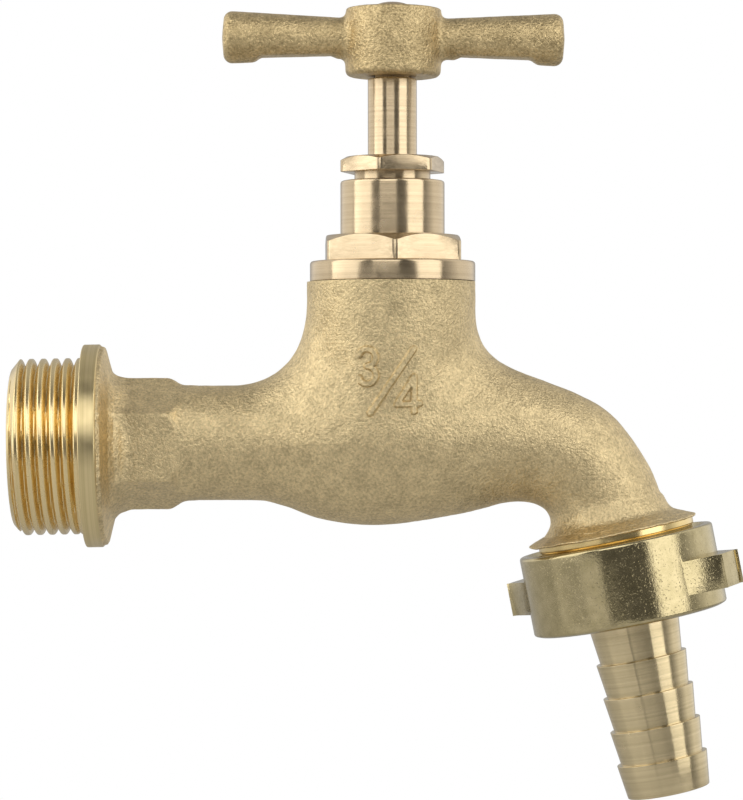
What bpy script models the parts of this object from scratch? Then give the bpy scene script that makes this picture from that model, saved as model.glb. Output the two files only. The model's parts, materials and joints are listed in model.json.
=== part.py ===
"""Brass hose bib: a 3/4 inch screw-down tap with a T handle and a union hose tail.

Frame: the origin is on the inlet axis at the wall side of the flange. +X runs from the wall
to the spout, +Z up to the handle. Everything is in metres.
"""

import math

import bmesh
import bpy
import numpy as np
from mathutils import Vector

MM = 0.001

# Play between pieces that touch, and between the mating threads, which are plain here.
GAP = 0.3 * MM
FINE_GAP = 0.15 * MM

# The usual broken edge, and how far a cutter runs past what it cuts.
EDGE = 0.3 * MM
PAST = 1.0 * MM

# Inlet: a G 3/4 pipe thread, the wall flange and the spanner hexagon.
THREAD_PITCH = 1.814 * MM
INLET_CREST_R = 13.22 * MM
INLET_ROOT_R = 12.1 * MM
INLET_LENGTH = 10.9 * MM
INLET_TURNS = 6
FLANGE_R = 15.2 * MM
FLANGE_THICK = 3.0 * MM
INLET_HEX_CORNER_R = 9.93 * MM
INLET_HEX_START = 4.4 * MM
INLET_HEX_END = 15.4 * MM
INLET_MOUTH_R = 9.5 * MM
INLET_MOUTH_END = -1.5 * MM
PIPE_BORE_R = 6.3 * MM
PIPE_BORE_END = 21.0 * MM

# Neck, with the spindle's axis through its middle.
SPINDLE_X = 46.1 * MM
NECK_R = 12.65 * MM
NECK_TOP = 24.2 * MM
NECK_THREAD_R = 10.6 * MM
NECK_THREAD_END = 12.5 * MM
CHAMBER_R = 9.9 * MM
CHAMBER_FLOOR = 2.0 * MM
SEAT_TOP = 3.2 * MM
SEAT_R = 7.8 * MM
SEAT_HOLE_R = 6.0 * MM
SEAT_HOLE_END = -4.5 * MM
PIPE_FILLET = 11.5 * MM
SPOUT_FILLET = 8.2 * MM
FRONT_FILLET = 2.4 * MM
FILLET_FADE = 8.0 * MM

# Spout and outlet. Heights along the outlet axis are measured up from the cast lip.
OUTLET = Vector((79.4 * MM, 0.0, -13.2 * MM))
OUTLET_TILT = math.radians(11.6)
LIP_R = 12.75 * MM
LIP_SHIFT = -0.4 * MM
SPIGOT_NECK_R = 12.0 * MM
SPIGOT_R = 12.5 * MM
SPIGOT_END = -6.9 * MM
OUTLET_BORE_R = 8.2 * MM

# Headpart.
COLLAR_R = 12.4 * MM
COLLAR_BOTTOM = 24.75 * MM
COLLAR_TOP = 27.3 * MM
BONNET_HEX_AF = 19.95 * MM
BONNET_HEX_TOP = 31.4 * MM
BONNET_HEX_TURN = math.radians(2.0)
BONNET_HEX_FALL = 1.25 * MM
BARREL_R = 7.75 * MM
BARREL_TOP = 39.6 * MM
STUFFING_R = 6.2 * MM
STUFFING_FLOOR = 30.2 * MM
BONNET_THREAD_R = NECK_THREAD_R - GAP
BONNET_BOTTOM = 14.4 * MM
BONNET_CAVITY_R = 6.1 * MM
BONNET_CAVITY_TOP = 28.9 * MM

# Gland.
GLAND_HEX_AF = 14.0 * MM
GLAND_HEX_BOTTOM = 40.6 * MM
GLAND_HEX_TOP = 43.15 * MM
GLAND_HEX_TURN = math.radians(-15.4)
GLAND_HEX_FALL = 0.7 * MM
GLAND_THREAD_R = 5.7 * MM
GLAND_BOTTOM = 37.1 * MM
PACKING_RING_HEIGHT = 1.35 * MM
FOLLOWER_HEIGHT = 1.05 * MM
STUFFING_WASHER_HEIGHT = 0.8 * MM

# Spindle.
SHANK_R = 3.75 * MM
SHANK_TOP = 54.35 * MM
SPINDLE_THREAD_R = 5.8 * MM
SPINDLE_THREAD_BOTTOM = 12.0 * MM
SPINDLE_THREAD_TOP = 22.2 * MM
SPINDLE_BOTTOM = 8.6 * MM
SPINDLE_TIP_R = 4.6 * MM
SOCKET_R = 2.75 * MM
SOCKET_TOP = 16.3 * MM
TENON_SIDE = 5.2 * MM
TENON_CORE_R = 2.4 * MM
RIVET_R = 3.2 * MM
RIVET_TOP = 66.2 * MM
RIVET_DOME = 0.9 * MM

# Handle.
HUB_BOTTOM = 54.65 * MM
HUB_TOP = 65.25 * MM
HUB_PARTING = 60.6 * MM
HUB_R = 7.35 * MM
HUB_END_R = 7.15 * MM
ARM_Z = 60.75 * MM
ARM_REACH = 25.7 * MM
ARM_ROOT_R = 3.0 * MM
ARM_END_R = 3.85 * MM
ARM_DOME = 0.25 * MM
ARM_ROUNDING = 1.3 * MM
RELIEF_START = 9.0 * MM
RELIEF_END = 20.3 * MM
RELIEF_DEPTH = 2.6 * MM
RELIEF_TILT = math.radians(1.5)

# Jumper valve and its washer.
WASHER_R = 8.2 * MM
WASHER_HEIGHT = 2.8 * MM
JUMPER_PLATE_HEIGHT = 1.75 * MM
JUMPER_STEM_R = 2.3 * MM
JUMPER_STUD_R = 1.7 * MM
JUMPER_STUD_END = -0.4 * MM
JUMPER_TOP = 15.5 * MM
SNAP_RING_Z = 13.9 * MM
SNAP_RING_R = 2.47 * MM
SNAP_WIRE_R = 0.33 * MM
SNAP_GROOVE_HALF = 0.5 * MM
WASHER_PLATE_R = 4.6 * MM
WASHER_PLATE_HEIGHT = 0.6 * MM
WASHER_NUT_AF = 6.8 * MM
WASHER_NUT_HEIGHT = 2.2 * MM

# Union nut and hose tail, measured down the outlet axis.
NUT_R = 14.65 * MM
NUT_TOP = -1.2 * MM
NUT_BOTTOM = -13.3 * MM
NUT_FLOOR = -11.7 * MM
NUT_THREAD_R = SPIGOT_R + GAP
NUT_HOLE_R = 7.4 * MM
LUG_TURN = math.radians(30.0)
LUG_REACH = 18.5 * MM
LUG_BOTTOM = -10.55 * MM
LUG_HEIGHT = 5.0 * MM
LUG_TIP_HALF = 2.7 * MM
LUG_ROOT_HALF = 5.6 * MM
LUG_CORNER = 0.8 * MM
LUG_FILLET_STEPS = 5
TAIL_COLLAR_R = 11.9 * MM
TAIL_COLLAR_TOP = -9.4 * MM
TAIL_BORE_R = 4.7 * MM
BARB_TOP = -19.3 * MM
BARB_PITCH = 5.12 * MM
BARB_COUNT = 4
BARB_CREST_R = 6.85 * MM
BARB_ROOT_R = 6.2 * MM
GASKET_HEIGHT = 2.1 * MM

FINE_STEPS = 32
ROUND_STEPS = 24
SMALL_STEPS = 16
CAST_VOXEL = 2.5 * MM


# ---------------------------------------------------------------- scene and objects


def clear_scene():
    for obj in list(bpy.data.objects):
        bpy.data.objects.remove(obj, do_unlink=True)


def new_collection(name):
    collection = bpy.data.collections.new(name)
    bpy.context.scene.collection.children.link(collection)
    return collection


def new_material(name, colour, roughness, metallic):
    material = bpy.data.materials.new(name)
    material.use_nodes = True
    shader = material.node_tree.nodes["Principled BSDF"]
    shader.inputs["Base Color"].default_value = (*colour, 1.0)
    shader.inputs["Roughness"].default_value = roughness
    shader.inputs["Metallic"].default_value = metallic
    return material


def new_axis(name, location, tilt):
    """An empty whose local Z is the axis that its children are turned about."""
    empty = bpy.data.objects.new(name, None)
    empty.location = location
    empty.rotation_euler = (0.0, tilt, 0.0)
    PARTS.objects.link(empty)
    return empty


def new_object(name, mesh, axis=None):
    obj = bpy.data.objects.new(name, mesh)
    CUTTERS.objects.link(obj)
    obj.hide_render = True
    obj.display_type = "WIRE"
    obj.parent = axis
    return obj


def finish_part(obj, material):
    """Turns a working object into a part of the tap."""
    CUTTERS.objects.unlink(obj)
    PARTS.objects.link(obj)
    obj.hide_render = False
    obj.display_type = "TEXTURED"
    obj.data.materials.clear()
    obj.data.materials.append(material)
    return obj


# ---------------------------------------------------------------- shapes


def turned(name, profile, axis=None, steps=ROUND_STEPS, closed=False):
    """A turned solid. The profile holds (radius, height) points, down the outer side."""
    mesh = bpy.data.meshes.new(name)
    edges = [(i, i + 1) for i in range(len(profile) - 1)]
    if closed:
        edges.append((len(profile) - 1, 0))
    mesh.from_pydata([(radius, 0.0, height) for radius, height in profile], edges, [])
    obj = new_object(name, mesh, axis)
    screw = obj.modifiers.new("turn", "SCREW")
    screw.axis = "Z"
    screw.angle = math.tau
    screw.steps = steps
    screw.render_steps = steps
    screw.use_merge_vertices = True
    screw.merge_threshold = 0.00001
    screw.use_smooth_shade = True
    return obj


def ring(name, inner_r, outer_r, bottom, top, axis, steps=ROUND_STEPS):
    profile = [(inner_r, top), (outer_r, top), (outer_r, bottom), (inner_r, bottom)]
    return turned(name, profile, axis, steps, closed=True)


def prism(name, corner_r, bottom, top, axis, sides=6, turn=0.0):
    """A prism about the axis, with a corner at the angle turn from the front, -Y."""
    mesh = bpy.data.meshes.new(name)
    shape = bmesh.new()
    bmesh.ops.create_cone(
        shape,
        cap_ends=True,
        segments=sides,
        radius1=corner_r,
        radius2=corner_r,
        depth=top - bottom,
    )
    shape.to_mesh(mesh)
    shape.free()
    obj = new_object(name, mesh, axis)
    obj.location = (0.0, 0.0, (top + bottom) / 2)
    obj.rotation_euler = (0.0, 0.0, turn)
    return obj


def box(name, low, high, axis=None):
    mesh = bpy.data.meshes.new(name)
    shape = bmesh.new()
    bmesh.ops.create_cube(shape, size=1.0)
    size = [b - a for a, b in zip(low, high)]
    bmesh.ops.scale(shape, vec=size, verts=shape.verts)
    shape.to_mesh(mesh)
    shape.free()
    obj = new_object(name, mesh, axis)
    obj.location = [(a + b) / 2 for a, b in zip(low, high)]
    return obj


def combine(target, other, operation):
    modifier = target.modifiers.new(other.name, "BOOLEAN")
    modifier.operation = operation
    modifier.object = other
    return target


def mesh_of(obj):
    """A copy of the object as it is evaluated, with its loose caps welded."""
    bpy.context.view_layer.update()
    graph = bpy.context.evaluated_depsgraph_get()
    mesh = bpy.data.meshes.new_from_object(obj.evaluated_get(graph))
    shape = bmesh.new()
    shape.from_mesh(mesh)
    bmesh.ops.remove_doubles(shape, verts=shape.verts, dist=0.000001)
    shape.to_mesh(mesh)
    shape.free()
    return mesh


def tube(name, route, resolution=8):
    """A solid tube whose route holds (x, z, radius) points in the plane Y = 0."""
    curve = bpy.data.curves.new(name, "CURVE")
    curve.dimensions = "3D"
    curve.bevel_depth = 1.0
    curve.bevel_resolution = resolution
    curve.use_fill_caps = True
    spline = curve.splines.new("POLY")
    spline.points.add(len(route) - 1)
    for point, (x, z, radius) in zip(spline.points, route):
        point.co = (x, 0.0, z, 1.0)
        point.radius = radius
    guide = new_object(name + "_route", curve)
    obj = new_object(name, mesh_of(guide))
    bpy.data.objects.remove(guide)
    return obj


def smooth_route(points, steps):
    """A Catmull-Rom curve through the points, with that many steps in each stretch."""
    rows = np.array(points)
    ends = np.vstack([2 * rows[0] - rows[1], rows, 2 * rows[-1] - rows[-2]])
    found = []
    for i in range(len(rows) - 1):
        a, b, c, d = ends[i : i + 4]
        for t in np.arange(steps) / steps:
            line = 2 * b + (c - a) * t
            bend = (2 * a - 5 * b + 4 * c - d) * t**2 + (3 * b - a - 3 * c + d) * t**3
            found.append((line + bend) / 2)
    found.append(rows[-1])
    return np.array(found)


# ---------------------------------------------------------------- cast body


def run_route():
    """Centre line and radius of the pipe, globe and spout, as (x, z, radius) in metres."""
    route_mm = [
        (13.6, 0.0, 8.5),
        (17.0, 0.0, 8.7),
        (24.0, 0.0, 8.72),
        (28.5, 0.0, 8.98),
        (33.5, -0.4, 9.88),
        (38.5, -0.8, 11.15),
        (44.7, -0.7, 11.7),
        (54.5, 0.2, 11.1),
        (61.0, 1.1, 10.2),
        (67.3, 0.2, 9.05),
        (70.5, -0.9, 8.85),
        (73.5, -2.5, 8.6),
        (76.9, -7.1, 8.45),
        (78.1, -10.0, 8.4),
        (78.7, -12.0, 8.4),
    ]
    return smooth_route(np.array(route_mm) * MM, 5)


def tube_field(points, route):
    """Distance outside a tube with changing radius, negative inside it."""
    best = np.full(len(points), np.inf)
    for a, b in zip(route[:-1], route[1:]):
        start = np.array([a[0], 0.0, a[1]])
        along = np.array([b[0], 0.0, b[1]]) - start
        t = np.clip((points - start) @ along / (along @ along), 0.0, 1.0)
        gap = np.linalg.norm(points - start - t[:, None] * along, axis=1)
        best = np.minimum(best, gap - a[2] - t * (b[2] - a[2]))
    return best


def neck_field(points):
    """Distance outside the neck, whose lower end is a half ball inside the globe."""
    lowest = 2.0 * MM
    below = np.minimum(points[:, 2] - lowest, 0.0)
    offset = np.stack([points[:, 0] - SPINDLE_X, points[:, 1], below])
    return np.linalg.norm(offset, axis=0) - NECK_R


def body_field(points, route):
    """Run and neck joined with a fillet: wide to the pipe and spout, slight at the front,
    and none on the underside."""
    run = tube_field(points, route)
    neck = neck_field(points)
    across = np.abs(points[:, 0] - SPINDLE_X)
    reach = np.hypot(across, points[:, 1])
    side = np.clip(across / np.maximum(reach, MM), 0.0, 1.0)
    widest = np.where(points[:, 0] < SPINDLE_X, PIPE_FILLET, SPOUT_FILLET)
    fade = np.clip((points[:, 2] + FILLET_FADE) / FILLET_FADE, 0.0, 1.0)
    width = (FRONT_FILLET + (widest - FRONT_FILLET) * side**2) * fade + 0.2 * MM
    near = np.maximum(width - np.abs(run - neck), 0.0) / width
    return np.minimum(run, neck) - near**2 * width / 4


def slide_onto(points, field, rounds=10):
    """Moves the points along the field's slope until they lie where it is zero."""
    step = 0.02 * MM
    for _ in range(rounds):
        slope = np.empty_like(points)
        for axis in range(3):
            shift = np.zeros(3)
            shift[axis] = step
            ahead = field(points + shift)
            behind = field(points - shift)
            slope[:, axis] = (ahead - behind) / (2 * step)
        size = np.maximum((slope**2).sum(axis=1), 0.25)
        points = points - slope * (field(points) / size)[:, None]
    return points


def cast_shell():
    """The outside of the casting: an even mesh over a rough union, slid onto the blend."""
    route = run_route()
    rough = tube("cast_rough", route)
    neck = turned(
        "neck_rough",
        [
            (0.0, NECK_TOP + 6 * PAST),
            (NECK_R, NECK_TOP + 6 * PAST),
            (NECK_R, 0.0),
            (0.0, 0.0),
        ],
    )
    neck.location.x = SPINDLE_X
    combine(rough, neck, "UNION")
    remesh = rough.modifiers.new("even", "REMESH")
    remesh.mode = "VOXEL"
    remesh.voxel_size = CAST_VOXEL
    mesh = mesh_of(rough)
    points = np.empty(len(mesh.vertices) * 3)
    mesh.vertices.foreach_get("co", points)
    points = slide_onto(points.reshape(-1, 3), lambda p: body_field(p, route))
    mesh.vertices.foreach_set("co", points.ravel())
    mesh.update()
    bpy.data.objects.remove(rough)
    return new_object("body", mesh)


def inlet_profile():
    """Nipple with its ridges, flange and coned back, as (radius, x) from the hexagon out."""
    profile = [
        (0.0, 6.6 * MM),
        (8.4 * MM, 6.6 * MM),
        (9.7 * MM, 5.7 * MM),
        (10.2 * MM, 4.9 * MM),
        (11.2 * MM, 4.2 * MM),
        (FLANGE_R - EDGE, FLANGE_THICK),
        (FLANGE_R, FLANGE_THICK - EDGE),
        (FLANGE_R, EDGE),
        (FLANGE_R - EDGE, 0.0),
        (INLET_CREST_R + EDGE, 0.0),
        (INLET_CREST_R, -0.25 * MM),
    ]
    for turn in range(INLET_TURNS):
        crest = -0.6 * MM - turn * THREAD_PITCH
        profile.append((INLET_CREST_R, crest - 0.25 * MM))
        profile.append((INLET_ROOT_R, crest - THREAD_PITCH / 2))
        if turn < INLET_TURNS - 1:
            profile.append((INLET_CREST_R, crest - THREAD_PITCH + 0.25 * MM))
    profile.append((INLET_ROOT_R - 0.4 * MM, -INLET_LENGTH))
    profile.append((0.0, -INLET_LENGTH))
    return profile


def add_inlet(body):
    across = new_axis("inlet_axis", (0.0, 0.0, 0.0), math.pi / 2)
    nipple = turned("inlet_nipple", inlet_profile(), across, FINE_STEPS)
    hexagon = prism(
        "inlet_hexagon",
        INLET_HEX_CORNER_R,
        INLET_HEX_START,
        INLET_HEX_END,
        across,
        turn=math.pi / 2,
    )
    rounding = turned(
        "inlet_hexagon_rounding",
        [
            (0.0, INLET_HEX_END + PAST),
            (8.0 * MM, INLET_HEX_END + PAST),
            (10.1 * MM, 12.6 * MM),
            (10.1 * MM, 0.0),
            (0.0, 0.0),
        ],
        across,
    )
    combine(hexagon, rounding, "INTERSECT")
    combine(body, hexagon, "UNION")
    combine(body, nipple, "UNION")
    bore = turned(
        "inlet_bore",
        [
            (0.0, PIPE_BORE_END),
            (PIPE_BORE_R - 0.2 * MM, PIPE_BORE_END),
            (PIPE_BORE_R, 5.0 * MM),
            (INLET_MOUTH_R, INLET_MOUTH_END),
            (INLET_MOUTH_R, -INLET_LENGTH - PAST),
            (0.0, -INLET_LENGTH - PAST),
        ],
        across,
    )
    return bore


def add_outlet(body, outlet_axis):
    """The cast lip that flares from the spout, and the machined spigot under it."""
    flare_mm = [(0.0, 3.6), (8.3, 3.6), (8.75, 2.6), (9.3, 1.8), (10.3, 1.35), (11.4, 1.0)]
    profile = [(radius * MM, height * MM) for radius, height in flare_mm]
    profile += [
        (LIP_R, 0.4 * MM),
        (LIP_R, -0.1 * MM),
        (SPIGOT_NECK_R - 0.5 * MM, -0.35 * MM),
        (0.0, -0.35 * MM),
    ]
    flare = turned("outlet_flare", profile, outlet_axis, FINE_STEPS)
    flare.location.x = LIP_SHIFT
    combine(body, flare, "UNION")
    profile = [
        (0.0, EDGE),
        (SPIGOT_NECK_R, EDGE),
        (SPIGOT_NECK_R, -1.6 * MM),
        (SPIGOT_R, -2.1 * MM),
        (SPIGOT_R, SPIGOT_END + 0.6 * MM),
        (SPIGOT_R - 0.6 * MM, SPIGOT_END),
        (0.0, SPIGOT_END),
    ]
    spigot = turned("outlet_spigot", profile, outlet_axis, FINE_STEPS)
    combine(body, spigot, "UNION")


def waterway(outlet_axis):
    """Cutters for the passages: under the seat, through it, and out along the spout."""
    inlet_mm = [
        (18.0, 0.0, 6.2),
        (22.0, 0.0, 6.2),
        (27.0, -1.6, 5.4),
        (31.5, -3.4, 4.8),
        (36.0, -4.6, 4.4),
        (45.0, -5.0, 4.3),
    ]
    under_seat = tube("under_seat", smooth_route(np.array(inlet_mm) * MM, 2), 6)
    sphere = bpy.data.meshes.new("seat_pool")
    shape = bmesh.new()
    bmesh.ops.create_uvsphere(shape, u_segments=16, v_segments=10, radius=1.0)
    bmesh.ops.scale(shape, vec=(8.6 * MM, 8.8 * MM, 4.6 * MM), verts=shape.verts)
    shape.to_mesh(sphere)
    shape.free()
    pool = new_object("seat_pool", sphere)
    pool.location = (45.5 * MM, 0.0, -5.0 * MM)
    chamber = turned(
        "valve_chamber",
        [
            (0.0, NECK_TOP + 9 * PAST),
            (NECK_THREAD_R, NECK_TOP + 9 * PAST),
            (NECK_THREAD_R, NECK_THREAD_END),
            (CHAMBER_R, NECK_THREAD_END - 0.6 * MM),
            (CHAMBER_R, CHAMBER_FLOOR),
            (SEAT_R, CHAMBER_FLOOR),
            (SEAT_R, SEAT_TOP),
            (SEAT_HOLE_R, SEAT_TOP),
            (SEAT_HOLE_R, SEAT_HOLE_END),
            (0.0, SEAT_HOLE_END),
        ],
        steps=FINE_STEPS,
    )
    chamber.location.x = SPINDLE_X
    spout_mm = [
        (49.5, 6.5, 4.6),
        (55.0, 5.0, 5.8),
        (61.0, 2.4, 6.7),
        (66.5, 0.8, 6.7),
        (72.8, -2.7, 6.2),
        (76.4, -7.2, 6.2),
        (78.1, -10.8, 6.3),
        (79.2, -14.6, 6.4),
    ]
    spout = tube("spout_bore", smooth_route(np.array(spout_mm) * MM, 2), 6)
    mouth = turned(
        "outlet_bore",
        [
            (0.0, 0.6 * MM),
            (5.9 * MM, 0.6 * MM),
            (OUTLET_BORE_R, -1.6 * MM),
            (OUTLET_BORE_R, SPIGOT_END - PAST),
            (0.0, SPIGOT_END - PAST),
        ],
        outlet_axis,
    )
    return [under_seat, pool, chamber, spout, mouth]


def make_body(outlet_axis):
    body = cast_shell()
    reach = NECK_R * 2
    top = box(
        "neck_top_cut",
        (SPINDLE_X - reach, -reach, NECK_TOP),
        (SPINDLE_X + reach, reach, NECK_TOP + reach),
    )
    combine(body, top, "DIFFERENCE")
    inlet_bore = add_inlet(body)
    add_outlet(body, outlet_axis)
    for cutter in [inlet_bore, *waterway(outlet_axis)]:
        combine(body, cutter, "DIFFERENCE")
    return finish_part(body, CAST_BRASS)


# ---------------------------------------------------------------- headpart and gland


def hexagon_corner(across_flats):
    return across_flats / 2 / math.cos(math.pi / 6)


def chamfered_hexagon(name, across_flats, bottom, top, axis, turn, fall):
    """A hexagon whose top corners are turned off by a shallow cone."""
    corner_r = hexagon_corner(across_flats)
    hexagon = prism(name, corner_r, bottom, top, axis, turn=turn)
    flat_r = across_flats / 2 - 0.1 * MM
    cone = turned(
        name + "_chamfer",
        [
            (0.0, top),
            (flat_r, top),
            (corner_r + 0.2 * MM, top - fall),
            (corner_r + 0.2 * MM, bottom - PAST),
            (0.0, bottom - PAST),
        ],
        axis,
        FINE_STEPS,
    )
    return combine(hexagon, cone, "INTERSECT")


def make_bonnet(axis):
    profile = [
        (BARREL_R - EDGE, BARREL_TOP),
        (BARREL_R, BARREL_TOP - EDGE),
        (BARREL_R, BONNET_HEX_TOP - 0.2 * MM),
        (9.4 * MM, BONNET_HEX_TOP - 0.4 * MM),
        (9.4 * MM, COLLAR_TOP),
        (COLLAR_R - 0.6 * MM, COLLAR_TOP),
        (COLLAR_R - 0.15 * MM, COLLAR_TOP - 0.2 * MM),
        (COLLAR_R, COLLAR_TOP - 0.6 * MM),
        (COLLAR_R, COLLAR_BOTTOM),
        (BONNET_THREAD_R, COLLAR_BOTTOM),
        (BONNET_THREAD_R, BONNET_BOTTOM + 0.5 * MM),
        (BONNET_THREAD_R - 0.5 * MM, BONNET_BOTTOM),
        (BONNET_CAVITY_R, BONNET_BOTTOM),
        (BONNET_CAVITY_R, BONNET_CAVITY_TOP),
        (SHANK_R + 0.25 * MM, BONNET_CAVITY_TOP),
        (SHANK_R + 0.25 * MM, STUFFING_FLOOR),
        (STUFFING_R, STUFFING_FLOOR),
        (STUFFING_R, BARREL_TOP),
    ]
    bonnet = turned("bonnet", profile, axis, FINE_STEPS, closed=True)
    hexagon = chamfered_hexagon(
        "bonnet_hexagon",
        BONNET_HEX_AF,
        COLLAR_TOP - EDGE,
        BONNET_HEX_TOP,
        axis,
        BONNET_HEX_TURN,
        BONNET_HEX_FALL,
    )
    hollow = prism(
        "bonnet_hexagon_hollow", 8.6 * MM, COLLAR_TOP - PAST, BARREL_TOP, axis, SMALL_STEPS
    )
    combine(hexagon, hollow, "DIFFERENCE")
    combine(bonnet, hexagon, "UNION")
    return finish_part(bonnet, TURNED_BRASS)


def make_bonnet_gasket(axis):
    gasket = ring(
        "bonnet_gasket",
        NECK_THREAD_R + 0.2 * MM,
        NECK_R - 0.45 * MM,
        NECK_TOP + 0.1 * MM,
        COLLAR_BOTTOM - 0.1 * MM,
        axis,
        FINE_STEPS,
    )
    return finish_part(gasket, FIBRE)


def make_gland_nut(axis):
    bore_r = SHANK_R + 0.25 * MM
    profile = [
        (6.6 * MM, GLAND_HEX_TOP - 0.1 * MM),
        (6.6 * MM, GLAND_HEX_BOTTOM + 0.2 * MM),
        (GLAND_THREAD_R, GLAND_HEX_BOTTOM),
        (GLAND_THREAD_R, GLAND_BOTTOM + EDGE),
        (GLAND_THREAD_R - EDGE, GLAND_BOTTOM),
        (bore_r, GLAND_BOTTOM),
        (bore_r, GLAND_HEX_TOP - 0.1 * MM),
    ]
    nut = turned("gland_nut", profile, axis, ROUND_STEPS, closed=True)
    hexagon = chamfered_hexagon(
        "gland_hexagon",
        GLAND_HEX_AF,
        GLAND_HEX_BOTTOM,
        GLAND_HEX_TOP,
        axis,
        GLAND_HEX_TURN,
        GLAND_HEX_FALL,
    )
    hole = prism(
        "gland_hexagon_hole",
        bore_r + 0.6 * MM,
        GLAND_HEX_BOTTOM - PAST,
        GLAND_HEX_TOP + PAST,
        axis,
        ROUND_STEPS,
    )
    combine(hexagon, hole, "DIFFERENCE")
    combine(nut, hexagon, "UNION")
    return finish_part(nut, TURNED_BRASS)


def make_packing(axis):
    """The stack in the stuffing box, from the washer on its floor up to the follower."""
    inner_r = SHANK_R + 0.2 * MM
    outer_r = STUFFING_R - 0.2 * MM
    level = STUFFING_FLOOR + 0.2 * MM
    top = level + STUFFING_WASHER_HEIGHT
    washer = ring("stuffing_box_washer", inner_r, outer_r, level, top, axis, SMALL_STEPS)
    finish_part(washer, TURNED_BRASS)
    level = top + FINE_GAP
    for place in ("lower", "middle", "upper"):
        top = level + PACKING_RING_HEIGHT
        name = "packing_ring_" + place
        packing = ring(name, inner_r, outer_r, level, top, axis, SMALL_STEPS)
        finish_part(packing, PACKING)
        level = top + FINE_GAP
    top = level + FOLLOWER_HEIGHT
    follower = ring("gland_follower", inner_r, outer_r, level, top, axis, SMALL_STEPS)
    finish_part(follower, TURNED_BRASS)


# ---------------------------------------------------------------- spindle, handle, valve


def make_spindle(axis):
    rivet_rim = RIVET_TOP - RIVET_DOME
    profile = [(0.0, RIVET_TOP)]
    for step in range(1, 4):
        angle = step / 3 * math.pi / 2
        height = rivet_rim + RIVET_DOME * math.cos(angle)
        profile.append((RIVET_R * math.sin(angle), height))
    profile += [
        (TENON_CORE_R, rivet_rim - 0.05 * MM),
        (TENON_CORE_R, SHANK_TOP),
        (SHANK_R, SHANK_TOP),
        (SHANK_R, SPINDLE_THREAD_TOP + 0.4 * MM),
        (SPINDLE_THREAD_R, SPINDLE_THREAD_TOP),
        (SPINDLE_THREAD_R, SPINDLE_THREAD_BOTTOM),
        (SPINDLE_TIP_R, SPINDLE_THREAD_BOTTOM - 0.6 * MM),
        (SPINDLE_TIP_R, SPINDLE_BOTTOM),
        (SOCKET_R, SPINDLE_BOTTOM),
        (SOCKET_R, SNAP_RING_Z - SNAP_GROOVE_HALF),
        (SOCKET_R + 0.35 * MM, SNAP_RING_Z - SNAP_GROOVE_HALF),
        (SOCKET_R + 0.35 * MM, SNAP_RING_Z + SNAP_GROOVE_HALF),
        (SOCKET_R, SNAP_RING_Z + SNAP_GROOVE_HALF),
        (SOCKET_R, SOCKET_TOP),
        (0.0, SOCKET_TOP + 0.6 * MM),
    ]
    spindle = turned("spindle", profile, axis, ROUND_STEPS)
    half = TENON_SIDE / 2
    low = (-half, -half, SHANK_TOP - PAST)
    high = (half, half, rivet_rim + 0.2 * MM)
    tenon = box("spindle_tenon", low, high, axis)
    combine(spindle, tenon, "UNION")
    return finish_part(spindle, TURNED_BRASS)


def arm_profile():
    """One arm as (radius, distance from the spindle), with a rounded, slightly domed end."""
    start = TENON_SIDE / 2 + 0.8 * MM
    profile = [(0.0, ARM_REACH)]
    for step in range(4):
        angle = math.pi / 2 * step / 3
        radius = ARM_END_R - ARM_ROUNDING + ARM_ROUNDING * math.sin(angle)
        reach = ARM_REACH - ARM_DOME - ARM_ROUNDING + ARM_ROUNDING * math.cos(angle)
        profile.append((radius, reach))
    profile.append((ARM_ROOT_R, HUB_R - MM))
    profile.append((ARM_ROOT_R, start))
    profile.append((0.0, start))
    return profile


def make_handle(axis):
    fillet = 0.65 * MM
    profile = [
        (0.0, HUB_TOP),
        (HUB_END_R - EDGE, HUB_TOP),
        (HUB_END_R, HUB_TOP - EDGE),
        (HUB_R, HUB_PARTING),
        (HUB_END_R, HUB_BOTTOM + fillet),
        (HUB_END_R - fillet * 0.3, HUB_BOTTOM + fillet * 0.3),
        (HUB_END_R - fillet, HUB_BOTTOM),
        (0.0, HUB_BOTTOM),
    ]
    handle = turned("handle", profile, axis, FINE_STEPS)
    wide = ARM_END_R + PAST
    for name, side in (("arm_right", 1), ("arm_left", -1)):
        arm = turned(name, arm_profile(), axis, SMALL_STEPS)
        arm.location.z = ARM_Z
        arm.rotation_euler.y = side * math.pi / 2
        combine(handle, arm, "UNION")
        ends = sorted((side * RELIEF_START, side * RELIEF_END))
        low = (ends[0], -wide, ARM_Z - wide)
        high = (ends[1], wide, ARM_Z - RELIEF_DEPTH)
        relief = box(name + "_relief", low, high, axis)
        relief.rotation_euler.y = side * RELIEF_TILT
        combine(handle, relief, "DIFFERENCE")
    half = TENON_SIDE / 2 + FINE_GAP
    low = (-half, -half, HUB_BOTTOM - PAST)
    high = (half, half, HUB_TOP + PAST)
    hole = box("handle_square", low, high, axis)
    combine(handle, hole, "DIFFERENCE")
    return finish_part(handle, HANDLE_BRASS)


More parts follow.
